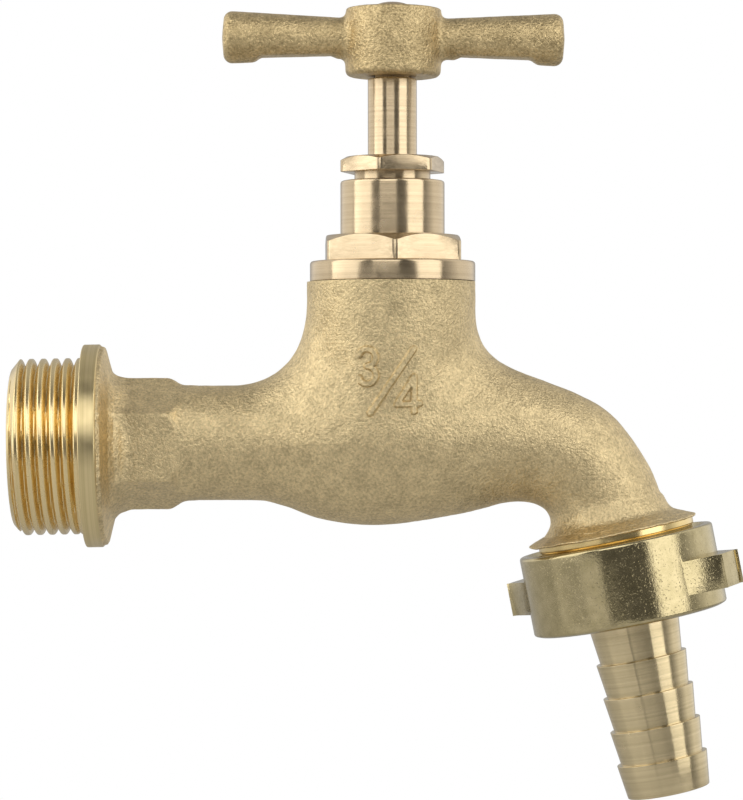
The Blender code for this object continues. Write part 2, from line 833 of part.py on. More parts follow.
def make_jumper(axis):
    """The loose valve plate with its washer, washer plate, nut and snap ring."""
    washer_bottom = SEAT_TOP + GAP
    washer_top = washer_bottom + WASHER_HEIGHT
    plate_bottom = washer_top + FINE_GAP
    plate_top = plate_bottom + JUMPER_PLATE_HEIGHT
    groove_r = JUMPER_STEM_R - 0.4 * MM
    profile = [
        (0.0, JUMPER_TOP),
        (JUMPER_STEM_R - EDGE, JUMPER_TOP),
        (JUMPER_STEM_R, JUMPER_TOP - EDGE),
        (JUMPER_STEM_R, SNAP_RING_Z + SNAP_GROOVE_HALF),
        (groove_r, SNAP_RING_Z + SNAP_GROOVE_HALF),
        (groove_r, SNAP_RING_Z - SNAP_GROOVE_HALF),
        (JUMPER_STEM_R, SNAP_RING_Z - SNAP_GROOVE_HALF),
        (JUMPER_STEM_R, plate_top),
        (WASHER_R - EDGE, plate_top),
        (WASHER_R, plate_top - EDGE),
        (WASHER_R, plate_bottom),
        (JUMPER_STUD_R, plate_bottom),
        (JUMPER_STUD_R, JUMPER_STUD_END),
        (0.0, JUMPER_STUD_END),
    ]
    finish_part(turned("jumper_valve", profile, axis, SMALL_STEPS), TURNED_BRASS)

    hole_r = JUMPER_STUD_R + FINE_GAP
    washer = ring("seat_washer", hole_r, WASHER_R, washer_bottom, washer_top, axis)
    finish_part(washer, RUBBER)

    top = washer_bottom - FINE_GAP
    bottom = top - WASHER_PLATE_HEIGHT
    plate = ring("seat_washer_plate", hole_r, WASHER_PLATE_R, bottom, top, axis, SMALL_STEPS)
    finish_part(plate, TURNED_BRASS)

    top = bottom - FINE_GAP
    bottom = top - WASHER_NUT_HEIGHT
    nut = prism("seat_washer_nut", hexagon_corner(WASHER_NUT_AF), bottom, top, axis)
    hole = prism(
        "seat_washer_nut_hole", hole_r, bottom - PAST, top + PAST, axis, SMALL_STEPS
    )
    combine(nut, hole, "DIFFERENCE")
    finish_part(nut, TURNED_BRASS)

    section = []
    for step in range(8):
        angle = math.tau * step / 8
        radius = SNAP_RING_R - SNAP_WIRE_R * math.cos(angle)
        section.append((radius, SNAP_RING_Z + SNAP_WIRE_R * math.sin(angle)))
    snap_ring = turned("jumper_snap_ring", section, axis, SMALL_STEPS, closed=True)
    finish_part(snap_ring, SPRING_BRONZE)


# ---------------------------------------------------------------- union


def lug_outline():
    """Half of a lug seen along the nut's axis: (distance out, half width) points."""
    fillet = LUG_ROOT_HALF - LUG_TIP_HALF
    points = [(NUT_R - 1.6 * MM, LUG_ROOT_HALF)]
    for step in range(LUG_FILLET_STEPS + 1):
        angle = math.pi / 2 * step / LUG_FILLET_STEPS
        out = NUT_R - 1.1 * MM + fillet * (1 - math.cos(angle))
        points.append((out, LUG_ROOT_HALF - fillet * math.sin(angle)))
    points.append((LUG_REACH - LUG_CORNER, LUG_TIP_HALF))
    points.append((LUG_REACH, LUG_TIP_HALF - LUG_CORNER))
    return points


def make_lug(name, axis, turn):
    half = lug_outline()
    outline = half + [(out, -across) for out, across in reversed(half)]
    curve = bpy.data.curves.new(name, "CURVE")
    curve.dimensions = "2D"
    curve.fill_mode = "BOTH"
    curve.extrude = LUG_HEIGHT / 2
    spline = curve.splines.new("POLY")
    spline.points.add(len(outline) - 1)
    for point, (out, across) in zip(spline.points, outline):
        point.co = (out, across, 0.0, 1.0)
    spline.use_cyclic_u = True
    guide = new_object(name + "_outline", curve)
    lug = new_object(name, mesh_of(guide), axis)
    bpy.data.objects.remove(guide)
    lug.location.z = LUG_BOTTOM + LUG_HEIGHT / 2
    lug.rotation_euler.z = turn
    return lug


def make_union_nut(axis):
    profile = [
        (NUT_THREAD_R + 0.6 * MM, NUT_TOP),
        (NUT_R - 0.5 * MM, NUT_TOP),
        (NUT_R, NUT_TOP - 0.5 * MM),
        (NUT_R, NUT_BOTTOM + 1.0 * MM),
        (NUT_R - EDGE, NUT_BOTTOM + EDGE),
        (NUT_R - 1.0 * MM, NUT_BOTTOM),
        (NUT_HOLE_R, NUT_BOTTOM),
        (NUT_HOLE_R, NUT_FLOOR),
        (NUT_THREAD_R, NUT_FLOOR),
        (NUT_THREAD_R, NUT_TOP - 0.6 * MM),
    ]
    nut = turned("union_nut", profile, axis, FINE_STEPS, closed=True)
    for name, turn in (("lug_front", -LUG_TURN), ("lug_back", math.pi - LUG_TURN)):
        combine(nut, make_lug(name, axis, turn), "UNION")
    return finish_part(nut, NUT_BRASS)


def make_hose_tail(axis):
    collar_bottom = NUT_FLOOR + GAP
    profile = [
        (TAIL_COLLAR_R, TAIL_COLLAR_TOP),
        (TAIL_COLLAR_R, collar_bottom),
        (BARB_CREST_R, collar_bottom),
        (BARB_CREST_R, NUT_BOTTOM),
    ]
    for barb in range(BARB_COUNT):
        height = BARB_TOP - barb * BARB_PITCH
        profile.append((BARB_ROOT_R, height))
        profile.append((BARB_CREST_R, height))
    tail_end = BARB_TOP - BARB_COUNT * BARB_PITCH
    profile += [
        (BARB_ROOT_R, tail_end),
        (TAIL_BORE_R, tail_end),
        (TAIL_BORE_R, TAIL_COLLAR_TOP),
    ]
    tail = turned("hose_tail", profile, axis, FINE_STEPS, closed=True)
    return finish_part(tail, TURNED_BRASS)


def make_hose_tail_gasket(axis):
    top = SPIGOT_END - FINE_GAP
    gasket = ring(
        "hose_tail_gasket",
        OUTLET_BORE_R,
        NUT_THREAD_R - GAP,
        top - GASKET_HEIGHT,
        top,
        axis,
        FINE_STEPS,
    )
    return finish_part(gasket, RUBBER)


clear_scene()
PARTS = new_collection("hose_bib")
CUTTERS = new_collection("cutters")
CAST_BRASS = new_material("cast_brass", (0.52, 0.42, 0.22), 0.45, 1.0)
HANDLE_BRASS = new_material("handle_brass", (0.44, 0.32, 0.13), 0.5, 1.0)
TURNED_BRASS = new_material("turned_brass", (0.66, 0.5, 0.25), 0.22, 1.0)
NUT_BRASS = new_material("nut_brass", (0.56, 0.44, 0.22), 0.18, 1.0)
SPRING_BRONZE = new_material("spring_bronze", (0.6, 0.4, 0.2), 0.3, 1.0)
RUBBER = new_material("rubber", (0.02, 0.02, 0.02), 0.7, 0.0)
FIBRE = new_material("fibre", (0.12, 0.04, 0.02), 0.8, 0.0)
PACKING = new_material("packing", (0.08, 0.08, 0.08), 0.6, 0.0)

SPINDLE_AXIS = new_axis("spindle_axis", (SPINDLE_X, 0.0, 0.0), 0.0)
OUTLET_AXIS = new_axis("outlet_axis", OUTLET, -OUTLET_TILT)

make_body(OUTLET_AXIS)
make_bonnet(SPINDLE_AXIS)
make_bonnet_gasket(SPINDLE_AXIS)
make_gland_nut(SPINDLE_AXIS)
make_packing(SPINDLE_AXIS)
make_spindle(SPINDLE_AXIS)
make_handle(SPINDLE_AXIS)
make_jumper(SPINDLE_AXIS)
make_union_nut(OUTLET_AXIS)
make_hose_tail(OUTLET_AXIS)
make_hose_tail_gasket(OUTLET_AXIS)
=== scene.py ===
"""Looks of the brass hose bib: fine meshes, materials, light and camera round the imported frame.

Each visible piece is built in its own axis frame, with local Z along the axis that it is turned
about, so that turning marks can follow the object's own coordinates.
"""

import json
import math

import bmesh
import bpy
import numpy as np
from mathutils import Matrix, Vector, noise


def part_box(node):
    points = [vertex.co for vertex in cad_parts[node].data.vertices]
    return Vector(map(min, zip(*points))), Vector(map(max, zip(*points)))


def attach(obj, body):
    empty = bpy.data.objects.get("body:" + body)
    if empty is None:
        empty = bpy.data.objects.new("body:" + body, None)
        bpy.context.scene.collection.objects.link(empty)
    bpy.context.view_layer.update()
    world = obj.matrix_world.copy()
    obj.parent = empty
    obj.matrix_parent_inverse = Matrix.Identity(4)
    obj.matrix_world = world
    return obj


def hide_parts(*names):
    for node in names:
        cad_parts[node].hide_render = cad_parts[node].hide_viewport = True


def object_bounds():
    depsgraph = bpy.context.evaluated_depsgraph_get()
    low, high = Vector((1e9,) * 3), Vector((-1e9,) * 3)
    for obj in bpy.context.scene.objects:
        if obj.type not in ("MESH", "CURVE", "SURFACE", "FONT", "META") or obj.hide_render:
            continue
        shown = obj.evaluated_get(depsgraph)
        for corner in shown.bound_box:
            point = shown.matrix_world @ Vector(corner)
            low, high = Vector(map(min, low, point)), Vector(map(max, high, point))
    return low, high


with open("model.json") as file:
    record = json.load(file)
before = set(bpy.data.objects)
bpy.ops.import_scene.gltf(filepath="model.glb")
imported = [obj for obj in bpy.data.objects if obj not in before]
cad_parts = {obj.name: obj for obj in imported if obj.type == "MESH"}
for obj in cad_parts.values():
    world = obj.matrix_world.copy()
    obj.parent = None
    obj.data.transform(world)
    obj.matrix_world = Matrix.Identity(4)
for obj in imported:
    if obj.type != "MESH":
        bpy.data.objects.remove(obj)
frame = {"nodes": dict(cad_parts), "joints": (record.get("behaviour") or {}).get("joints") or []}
CAD_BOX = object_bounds()

MM = 0.001
STEPS = 240  # round a turned piece
WELD_GAP = 0.000001
EDGE = 0.1 * MM  # rounding of a turned edge
MOST_CUT = 0.49  # of a side, by the rounding at its end
SHARP_ANGLE = math.radians(32.0)

# Cast body: the same run, neck and fillets as the CAD body.
NECK_R = 12.63 * MM
NECK_SHIFT = -0.22 * MM
NECK_BLANK_TOP = 27.0 * MM
NECK_BALL_Z = 2.0 * MM
PIPE_FILLET = 11.5 * MM
SPOUT_FILLET = 8.2 * MM
FRONT_FILLET = 2.4 * MM
LEAST_FILLET = 0.2 * MM
FILLET_FADE = 8.0 * MM
FLANGE_FILLET = 1.2 * MM
FLARE_FILLET = 1.5 * MM
CAST_VOXEL = 0.42 * MM
CAST_UNEVENNESS = 0.03 * MM
BEND = (68.5 * MM, -9.6 * MM)
BEND_REACH = 7.0 * MM
INLET_HEX_HALF = 8.6 * MM
INLET_HEX_START = 3.6 * MM
INLET_HEX_END = 15.2 * MM
INLET_HEX_TURN = math.radians(3.0)
INLET_HEX_EDGE = 0.2 * MM
INLET_HEX_FILLET = 0.6 * MM
INLET_HEX_CONE_X = 12.75 * MM
INLET_HEX_CONE_R = 9.93 * MM
INLET_HEX_CONE_SLOPE = math.atan2(1.1, 1.6)

# Raised size mark on the front of the globe.
MARK_HEIGHT = 0.4 * MM
MARK_FLAT = 0.36 * MM
MARK_FOOT = 0.56 * MM

# Inlet nipple and flange, machined slightly askew of the inlet axis.
NIPPLE_DROP = 0.3 * MM
NIPPLE_TILT = math.radians(-0.95)
THREAD_PITCH = 1.814 * MM
INLET_CREST_R = 13.22 * MM
INLET_ROOT_R = 12.1 * MM
INLET_LENGTH = 10.7 * MM
INLET_THREAD_START = -10.577 * MM
FLANGE_R = 15.2 * MM
FLANGE_THICK = 2.6 * MM
THREAD_CREST = 0.1  # half widths, in pitches
THREAD_ROOT = 0.45
THREAD_RINGS = 16  # in each pitch
THREAD_RUN_OUT = 0.7 * MM
LEAD_IN_DEPTH = 0.3 * MM
LEAD_IN_SLOPE = 1.2

# Outlet spigot, along the outlet axis, with heights up from the cast lip.
LIP_R = 12.75 * MM
LIP_SHIFT = -0.4 * MM
SPIGOT_NECK_R = 11.75 * MM
SPIGOT_R = 12.5 * MM
SPIGOT_END = -6.9 * MM

# Headpart and gland, along the spindle axis.
COLLAR_R = 12.4 * MM
COLLAR_BOTTOM = 24.75 * MM
SKIRT_BOTTOM = 24.29 * MM
COLLAR_TOP = 27.3 * MM
BONNET_HEX_AF = 19.95 * MM
BONNET_HEX_TOP = 31.15 * MM
BONNET_HEX_TURN = math.radians(2.0)
BONNET_HEX_FALL = 1.25 * MM
BARREL_R = 7.81 * MM
BARREL_TOP = 39.36 * MM
STUFFING_R = 6.2 * MM
GLAND_HEX_AF = 14.1 * MM
GLAND_HEX_BOTTOM = 40.6 * MM
GLAND_HEX_TOP = 42.91 * MM
GLAND_HEX_TURN = math.radians(-15.4)
GLAND_HEX_FALL = 0.7 * MM
GLAND_THREAD_R = 5.7 * MM
HEX_CORNER_LOSS = 0.15 * MM
SHANK_R = 3.68 * MM
SHANK_PLAY = 0.25 * MM
SHOULDER_Z = 22.35 * MM
SPINDLE_THREAD = (12.0 * MM, 22.2 * MM)
SPINDLE_PITCH = 2.0 * MM
TENON_HALF = 2.6 * MM

# Handle, along the spindle axis, with its arms along X. It sits slightly askew on its tenon.
HANDLE_SHIFT = 0.17 * MM
HANDLE_TILT = math.radians(0.6)
HUB_BOTTOM = 54.95 * MM
HUB_TOP = 65.15 * MM
HUB_PARTING = 60.6 * MM
HUB_R = 7.35 * MM
HUB_TOP_EDGE = 0.35 * MM
SHANK_TOP = 54.65 * MM
HUB_BOTTOM_EDGE = 0.9 * MM
RIVET_R = 2.62 * MM
RIVET_FOOT = 0.25 * MM
HUB_END_R = 7.15 * MM
ARM_Z = 60.68 * MM
ARM_START = 3.4 * MM
ARM_REACH = 25.7 * MM
ARM_ROOT_R = 3.0 * MM
ARM_END_R = 3.9 * MM
ARM_ROUNDING = 1.3 * MM
RELIEF_START = 9.0 * MM
RELIEF_END = 20.3 * MM
RELIEF_DEPTH = 2.35 * MM
RELIEF_SHIFT = 0.4 * MM
RELIEF_TILT = math.radians(1.5)
HANDLE_VOXEL = 0.3 * MM

# Union nut and hose tail, along the outlet axis. The nut sits slightly askew on its thread.
NUT_TILT = math.radians(0.6)
NUT_SHIFT = -0.3 * MM
NUT_R = 14.65 * MM
NUT_TOP = -1.3 * MM
NUT_BOTTOM = -13.55 * MM
NUT_FLOOR = -11.75 * MM
NUT_THREAD_R = 13.0 * MM
NUT_HOLE_R = 7.4 * MM
LUG_TURN = math.radians(30.0)
LUG_REACH = 17.75 * MM
LUG_BOTTOM = -10.4 * MM
LUG_HEIGHT = 5.0 * MM
LUG_UNEVENNESS = 0.35 * MM
LUG_TIP_HALF = 2.7 * MM
LUG_ROOT_HALF = 6.4 * MM
LUG_SIDE = 4.35 * MM
LUG_FILLET = 0.6 * MM
LUG_CORNER = 0.5 * MM
TAIL_COLLAR_R = 11.9 * MM
TAIL_COLLAR_TOP = -9.4 * MM
TAIL_BORE_R = 4.7 * MM
BARB_TOP = -19.3 * MM
BARB_PITCH = 5.12 * MM
BARB_COUNT = 4
BARB_CREST_R = 6.85 * MM
BARB_ROOT_R = 6.2 * MM

# Camera and surroundings.
CAMERA_SPOT = Vector((42.9 * MM, -510.0 * MM, 6.5 * MM))
CAMERA_LENS = 153.0
CAMERA_ROLL = math.radians(0.1)
LIGHT_DISTANCE = 0.75
FLOOR_Z = -0.2
FLOOR_R = 0.6
FLOOR_THICK = 0.01


# ---- axis frames


def joint_named(name):
    return next(joint for joint in frame["joints"] if joint["name"] == name)


def axis_frame(origin, up):
    """A frame with its Z along up and its Y along the scene's Y."""
    up = Vector(up).normalized()
    across = Vector((0.0, 1.0, 0.0))
    matrix = Matrix((across.cross(up), across, up)).transposed().to_4x4()
    matrix.translation = origin
    return matrix


def askew(place, height, tilt, shift=0.0):
    """The frame tilted about its own Y at that height, and shifted along its X."""
    centre = Matrix.Translation((0.0, 0.0, height))
    moved = Matrix.Translation((shift, 0.0, 0.0)) @ centre @ Matrix.Rotation(tilt, 4, "Y")
    return place @ moved @ centre.inverted()


TURN = joint_named("handle_turn")
UNION = joint_named("union_nut_turn")
SPINDLE_X = TURN["pos_m"][0]
OUTLET = Vector(UNION["pos_m"])
NECK_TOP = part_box("body")[1].z
ROW_FRAME = Matrix.Identity(4)
SPINDLE_FRAME = axis_frame(TURN["pos_m"], (0.0, 0.0, 1.0))
OUTLET_FRAME = axis_frame(OUTLET, -Vector(UNION["axis"]))
INLET_FRAME = axis_frame((0.0, 0.0, 0.0), (1.0, 0.0, 0.0))
NIPPLE_FRAME = askew(INLET_FRAME, FLANGE_THICK / 2, NIPPLE_TILT, NIPPLE_DROP)
HANDLE_FRAME = askew(SPINDLE_FRAME, ARM_Z, HANDLE_TILT, HANDLE_SHIFT)
NUT_FRAME = askew(OUTLET_FRAME, (NUT_TOP + NUT_BOTTOM) / 2, NUT_TILT, NUT_SHIFT)


# ---- meshes


def new_object(name, data, place):
    obj = bpy.data.objects.new(name, data)
    bpy.context.scene.collection.objects.link(obj)
    obj.matrix_world = place
    return obj


def mesh_from(name, points, faces):
    mesh = bpy.data.meshes.new(name)
    mesh.from_pydata(points, [], faces)
    shape = bmesh.new()
    shape.from_mesh(mesh)
    bmesh.ops.remove_doubles(shape, verts=shape.verts, dist=WELD_GAP)
    bmesh.ops.recalc_face_normals(shape, faces=shape.faces)
    shape.to_mesh(mesh)
    shape.free()
    return mesh


def in_mm(rows):
    return [tuple(value * MM for value in row) for row in rows]


def ring_faces(count, steps, closed):
    """Quads from each ring of points to the next, and from the last to the first if closed."""
    here = np.arange(steps)
    after = (here + 1) % steps
    faces = []
    for i in range(count if closed else count - 1):
        low, high = i * steps, (i + 1) % count * steps
        quads = np.stack([low + here, low + after, high + after, high + here], axis=1)
        faces.extend(quads.tolist())
    return faces


def turned(name, place, profile, turn=0.0, steps=STEPS):
    """A turned solid. The profile holds (radius, height) pairs, and each value may be an array
    with one number for each step round the axis. It starts and ends on the axis, or is a loop."""
    angles = turn + np.arange(steps) * math.tau / steps
    rings = []
    for radius, height in profile:
        ring = [radius * np.cos(angles), radius * np.sin(angles), height + 0.0 * angles]
        rings.append(np.stack(ring, axis=1))
    loop = np.max(profile[0][0]) > WELD_GAP
    faces = ring_faces(len(rings), steps, loop)
    return new_object(name, mesh_from(name, np.concatenate(rings).tolist(), faces), place)


def rounded(corners, steps=4):
    """The loop of (radius, height) corners, with an arc at each one that has a rounding too."""
    made = []
    for i, (radius, height, *rounding) in enumerate(corners):
        here = Vector((radius, height))
        if not rounding:
            made.append((radius, height))
            continue
        back = Vector(corners[i - 1][:2]) - here
        ahead = Vector(corners[(i + 1) % len(corners)][:2]) - here
        cut = min(rounding[0], back.length * MOST_CUT, ahead.length * MOST_CUT)
        start = here + back.normalized() * cut
        end = here + ahead.normalized() * cut
        for step in range(steps + 1):
            t = step / steps
            made.append(tuple((1 - t) ** 2 * start + 2 * t * (1 - t) * here + t**2 * end))
    return made


def uneven_ring(bumps, seed):
    """Noise with a value for each step round a turned piece, and about that many bumps."""
    around = np.arange(STEPS) * math.tau / STEPS
    spots = [(bumps * math.cos(a), bumps * math.sin(a), seed) for a in around]
    return np.array([noise.noise(Vector(spot)) for spot in spots])


def thread_rings(crest, root, start, end, pitch, phase=0.0, chamfered=True):
    """Rings of a right-hand thread, from its chamfered start to its run-out at the end."""
    around = np.arange(STEPS) / STEPS
    count = round((end - start) / pitch * THREAD_RINGS)
    rings = []
    for height in np.linspace(start, end, count):
        apart = np.abs(((height - phase) / pitch - around + 0.5) % 1.0 - 0.5)
        rise = np.clip((THREAD_ROOT - apart) / (THREAD_ROOT - THREAD_CREST), 0.0, 1.0)
        run_out = np.clip(1.0 - (end - height) / THREAD_RUN_OUT, 0.0, 1.0)
        rise = np.maximum(rise, run_out)
        radius = root + (crest - root) * rise**1.1 * (2.0 - rise**1.1)
        if chamfered:
            radius = np.minimum(radius, root - LEAD_IN_DEPTH + (height - start) * LEAD_IN_SLOPE)
        rings.append((radius, height))
    return rings


def tube(name, route, sides=40):
    """A solid tube whose route holds (x, z, radius) points in the plane Y = 0."""
    route = np.asarray(route)
    ahead = np.gradient(route[:, :2], axis=0)
    ahead /= np.linalg.norm(ahead, axis=1)[:, None]
    angles = np.arange(sides) * math.tau / sides
    points = []
    for (x, z, radius), (dx, dz) in zip(route, ahead):
        across = radius * np.sin(angles)
        up = radius * np.cos(angles)
        points.append(np.stack([x - dz * up, across, z + dx * up], axis=1))
    last = (len(route) - 1) * sides
    faces = ring_faces(len(route), sides, False)
    faces += [list(range(sides)), list(range(last, last + sides))]
    return new_object(name, mesh_from(name, np.concatenate(points).tolist(), faces), ROW_FRAME)


def block(name, half, bottom, top):
    """A square block on the spindle axis, that many metres to each side of it."""
    sides = (-half, half)
    corners = [(x, y, z) for x in sides for y in sides for z in (bottom, top)]
    faces = [(0, 1, 3, 2), (4, 6, 7, 5), (0, 4, 5, 1), (2, 3, 7, 6), (0, 2, 6, 4), (1, 5, 7, 3)]
    return new_object(name, mesh_from(name, corners, faces), SPINDLE_FRAME)


def combine(target, others, operation):
    """Adds or cuts the other solids, which are then removed."""
    for other in others:
        modifier = target.modifiers.new(other.name, "BOOLEAN")
        modifier.operation = operation
        modifier.solver = "MANIFOLD"
        modifier.object = other
        apply_modifiers(target)
        bpy.data.objects.remove(other)


def apply_modifiers(obj):
    bpy.context.view_layer.update()
    graph = bpy.context.evaluated_depsgraph_get()
    mesh = bpy.data.meshes.new_from_object(obj.evaluated_get(graph))
    obj.modifiers.clear()
    old = obj.data
    obj.data = mesh
    bpy.data.meshes.remove(old)
    return obj


def points_of(mesh, kind="co"):
    """The vertices' coordinates, or their normals."""
    found = np.empty(len(mesh.vertices) * 3)
    mesh.vertices.foreach_get(kind, found)
    return found.reshape(-1, 3)


def move_points(mesh, points):
    mesh.vertices.foreach_set("co", points.ravel())
    mesh.update()


def smooth(obj):
    obj.data.shade_smooth()
    obj.data.set_sharp_from_angle(angle=SHARP_ANGLE)
    return obj


# ---- distance fields


def smooth_min(a, b, width):
    near = np.maximum(width - np.abs(a - b), 0.0) / width
    return np.minimum(a, b) - near**2 * width / 4


def smooth_max(a, b, width):
    return -smooth_min(-a, -b, width)


def stretch_gap(across, up, start, end):
    """Distance of flat places from the straight stretch between two of them."""
    along, rise = end[0] - start[0], end[1] - start[1]
    across, up = across - start[0], up - start[1]
    t = np.clip((across * along + up * rise) / (along**2 + rise**2), 0.0, 1.0)
    return np.hypot(across - t * along, up - t * rise)


def section_field(radius, height, corners):
    """Distance outside a closed (radius, height) outline, negative inside it."""
    best = np.full(len(radius), np.inf)
    inside = np.zeros(len(radius), bool)
    for (r0, h0), (r1, h1) in zip(corners, corners[1:] + corners[:1]):
        best = np.minimum(best, stretch_gap(radius, height, (r0, h0), (r1, h1)))
        if h0 != h1:
            crosses = (h0 > height) != (h1 > height)
            inside ^= crosses & (radius < r0 + (height - h0) * (r1 - r0) / (h1 - h0))
    return np.where(inside, -best, best)


def tube_field(points, route):
    """Distance outside a tube with changing radius, negative inside it."""
    best = np.full(len(points), np.inf)
    for a, b in zip(route[:-1], route[1:]):
        start = np.array([a[0], 0.0, a[1]])
        along = np.array([b[0], 0.0, b[1]]) - start
        t = np.clip((points - start) @ along / (along @ along), 0.0, 1.0)
        gap = np.linalg.norm(points - start - t[:, None] * along, axis=1)
        best = np.minimum(best, gap - a[2] - t * (b[2] - a[2]))
    return best


def slide_onto(points, field, rounds=4):
    """Moves the points along the field's slope until they lie where it is zero."""
    step = 0.02 * MM
    for _ in range(rounds):
        slope = np.empty_like(points)
        for axis in range(3):
            shift = np.zeros(3)
            shift[axis] = step
            slope[:, axis] = (field(points + shift) - field(points - shift)) / (2 * step)
        size = np.maximum((slope**2).sum(axis=1), 0.25)
        points = points - slope * (field(points) / size)[:, None]
    return points


def even_mesh(name, solids, voxel, place=ROW_FRAME):
    """One object with an even mesh over the union of closed solids."""
    shape = bmesh.new()
    for solid in solids:
        solid.data.transform(place.inverted() @ solid.matrix_world)
        shape.from_mesh(solid.data)
        bpy.data.objects.remove(solid)
    joined = bpy.data.meshes.new(name)
    shape.to_mesh(joined)
    shape.free()
    obj = new_object(name, joined, place)
    remesh = obj.modifiers.new("even", "REMESH")
    remesh.mode = "VOXEL"
    remesh.voxel_size = voxel
    return apply_modifiers(obj)


def refine(obj, wanted, cuts):
    """Subdivides the edges whose middle satisfies the test."""
    shape = bmesh.new()
    shape.from_mesh(obj.data)
    edges = [e for e in shape.edges if wanted(*(e.verts[0].co + e.verts[1].co) / 2)]
    bmesh.ops.subdivide_edges(shape, edges=edges, cuts=cuts, use_grid_fill=True)
    bmesh.ops.triangulate(shape, faces=[f for f in shape.faces if len(f.verts) > 4])
    shape.to_mesh(obj.data)
    shape.free()


def settle(obj, field):
    """Slides the object's mesh onto the field."""
    points = slide_onto(points_of(obj.data), field)
    move_points(obj.data, points)


def soften(obj, weight, rounds):
    """Evens out the mesh, by each point's own weight from 0 to 1."""
    points = points_of(obj.data)
    pairs = np.empty(len(obj.data.edges) * 2, dtype=np.int64)
    obj.data.edges.foreach_get("vertices", pairs)
    pairs = pairs.reshape(-1, 2)
    pairs = pairs[(weight(points)[pairs] > 0.0).any(axis=1)]
    share = 0.5 * weight(points)[:, None]
    count = np.maximum(np.bincount(pairs.ravel(), minlength=len(points)), 1)[:, None]
    for _ in range(rounds):
        total = np.zeros_like(points)
        for axis in range(3):
            for here, there in ((0, 1), (1, 0)):
                total[:, axis] += np.bincount(pairs[:, here], points[pairs[:, there], axis], len(points))
        points = points + share * (total / count - points)
    move_points(obj.data, points)


def roughen(obj, height, size):
    """Lifts and sinks the surface a little, as sand casting does."""
    points = points_of(obj.data)
    wave = np.array([noise.noise(Vector(p) / size) for p in points])
    points += points_of(obj.data, "normal") * (height * wave)[:, None]
    move_points(obj.data, points)


# ---- cast body


def smooth_route(points, steps):
    """A Catmull-Rom curve through points in millimetres, with that many steps in each stretch."""
    rows = np.array(points) * MM
    ends = np.vstack([2 * rows[0] - rows[1], rows, 2 * rows[-1] - rows[-2]])
    found = []
    for i in range(len(rows) - 1):
        a, b, c, d = ends[i : i + 4]
        for t in np.arange(steps) / steps:
            line = 2 * b + (c - a) * t
            bend = (2 * a - 5 * b + 4 * c - d) * t**2 + (3 * b - a - 3 * c + d) * t**3
            found.append((line + bend) / 2)
    found.append(rows[-1])
    return np.array(found)


def run_route():
    """Centre line and radius of the pipe, globe and spout, as (x, z, radius)."""
    inside_flange = [(7.0, 0.0, 5.5), (11.5, 0.0, 5.5)]
    pipe = [(15.2, 0.1, 8.4), (17.0, 0.12, 8.58), (24.0, 0.12, 8.6), (28.5, 0.12, 8.86)]
    globe = [(33.5, -0.28, 9.78), (38.5, -0.7, 11.05), (44.7, -0.6, 11.6), (54.5, 0.3, 11.0)]
    shoulder = [(61.0, 1.1, 10.2), (67.3, 0.2, 9.05), (70.5, -0.9, 8.85), (73.6, -2.5, 8.5)]
    spout = [(77.1, -7.1, 8.25), (78.3, -10.0, 8.2), (78.9, -12.0, 8.2)]
    return smooth_route(inside_flange + pipe + globe + shoulder + spout, 8)


def neck_field(points):
    """Distance outside the neck, whose lower end is a half ball inside the globe."""
    below = np.minimum(points[:, 2] - NECK_BALL_Z, 0.0)
    offset = np.stack([points[:, 0] - SPINDLE_X - NECK_SHIFT, points[:, 1], below])
    return np.linalg.norm(offset, axis=0) - NECK_R


def run_and_neck_field(points, route):
    """Run and neck joined with a fillet: wide to the pipe and spout, slight at the front."""
    run = tube_field(points, route)
    neck = neck_field(points)
    across = np.abs(points[:, 0] - SPINDLE_X)
    reach = np.hypot(across, points[:, 1])
    side = np.clip(across / np.maximum(reach, MM), 0.0, 1.0)
    widest = np.where(points[:, 0] < SPINDLE_X, PIPE_FILLET, SPOUT_FILLET)
    fade = np.clip((points[:, 2] + FILLET_FADE) / FILLET_FADE, 0.0, 1.0)
    width = (FRONT_FILLET + (widest - FRONT_FILLET) * side**2) * fade + LEAST_FILLET
    return smooth_min(run, neck, width)


def inlet_hexagon_field(points):
    """The cast spanner hexagon, with flats to the front and back and rounded edges."""
    x = points[:, 0]
    y = points[:, 1] * math.cos(INLET_HEX_TURN) + points[:, 2] * math.sin(INLET_HEX_TURN)
    z = points[:, 2] * math.cos(INLET_HEX_TURN) - points[:, 1] * math.sin(INLET_HEX_TURN)
    flats = np.abs(y) - INLET_HEX_HALF
    for turn in (math.pi / 3, -math.pi / 3):
        flat = np.abs(y * math.cos(turn) + z * math.sin(turn)) - INLET_HEX_HALF
        flats = smooth_max(flats, flat, INLET_HEX_EDGE)
    narrowing = (x - INLET_HEX_CONE_X) * math.tan(INLET_HEX_CONE_SLOPE)
    cone = (np.hypot(y, z) - INLET_HEX_CONE_R + narrowing) * math.cos(INLET_HEX_CONE_SLOPE)
    ends = np.maximum(x - INLET_HEX_END, INLET_HEX_START - x)
    return smooth_max(smooth_max(flats, cone, 0.35 * MM), ends, 0.4 * MM)


def seen_from(place, points):
    """The points in that frame's own coordinates."""
    return (points - np.array(place.translation)) @ np.array(place.to_3x3())


def flange_back_field(points):
    """The cast cone behind the flange."""
    slope = [(8.4, 6.6), (9.7, 5.6), (10.2, 4.9), (11.2, 4.1), (14.75, 3.15)]
    outline = in_mm([(0.0, 6.6), *slope, (14.95, 2.9), (14.95, 2.0), (0.0, 2.0)])
    local = seen_from(NIPPLE_FRAME, points)
    return section_field(np.hypot(local[:, 0], local[:, 1]), local[:, 2], outline)


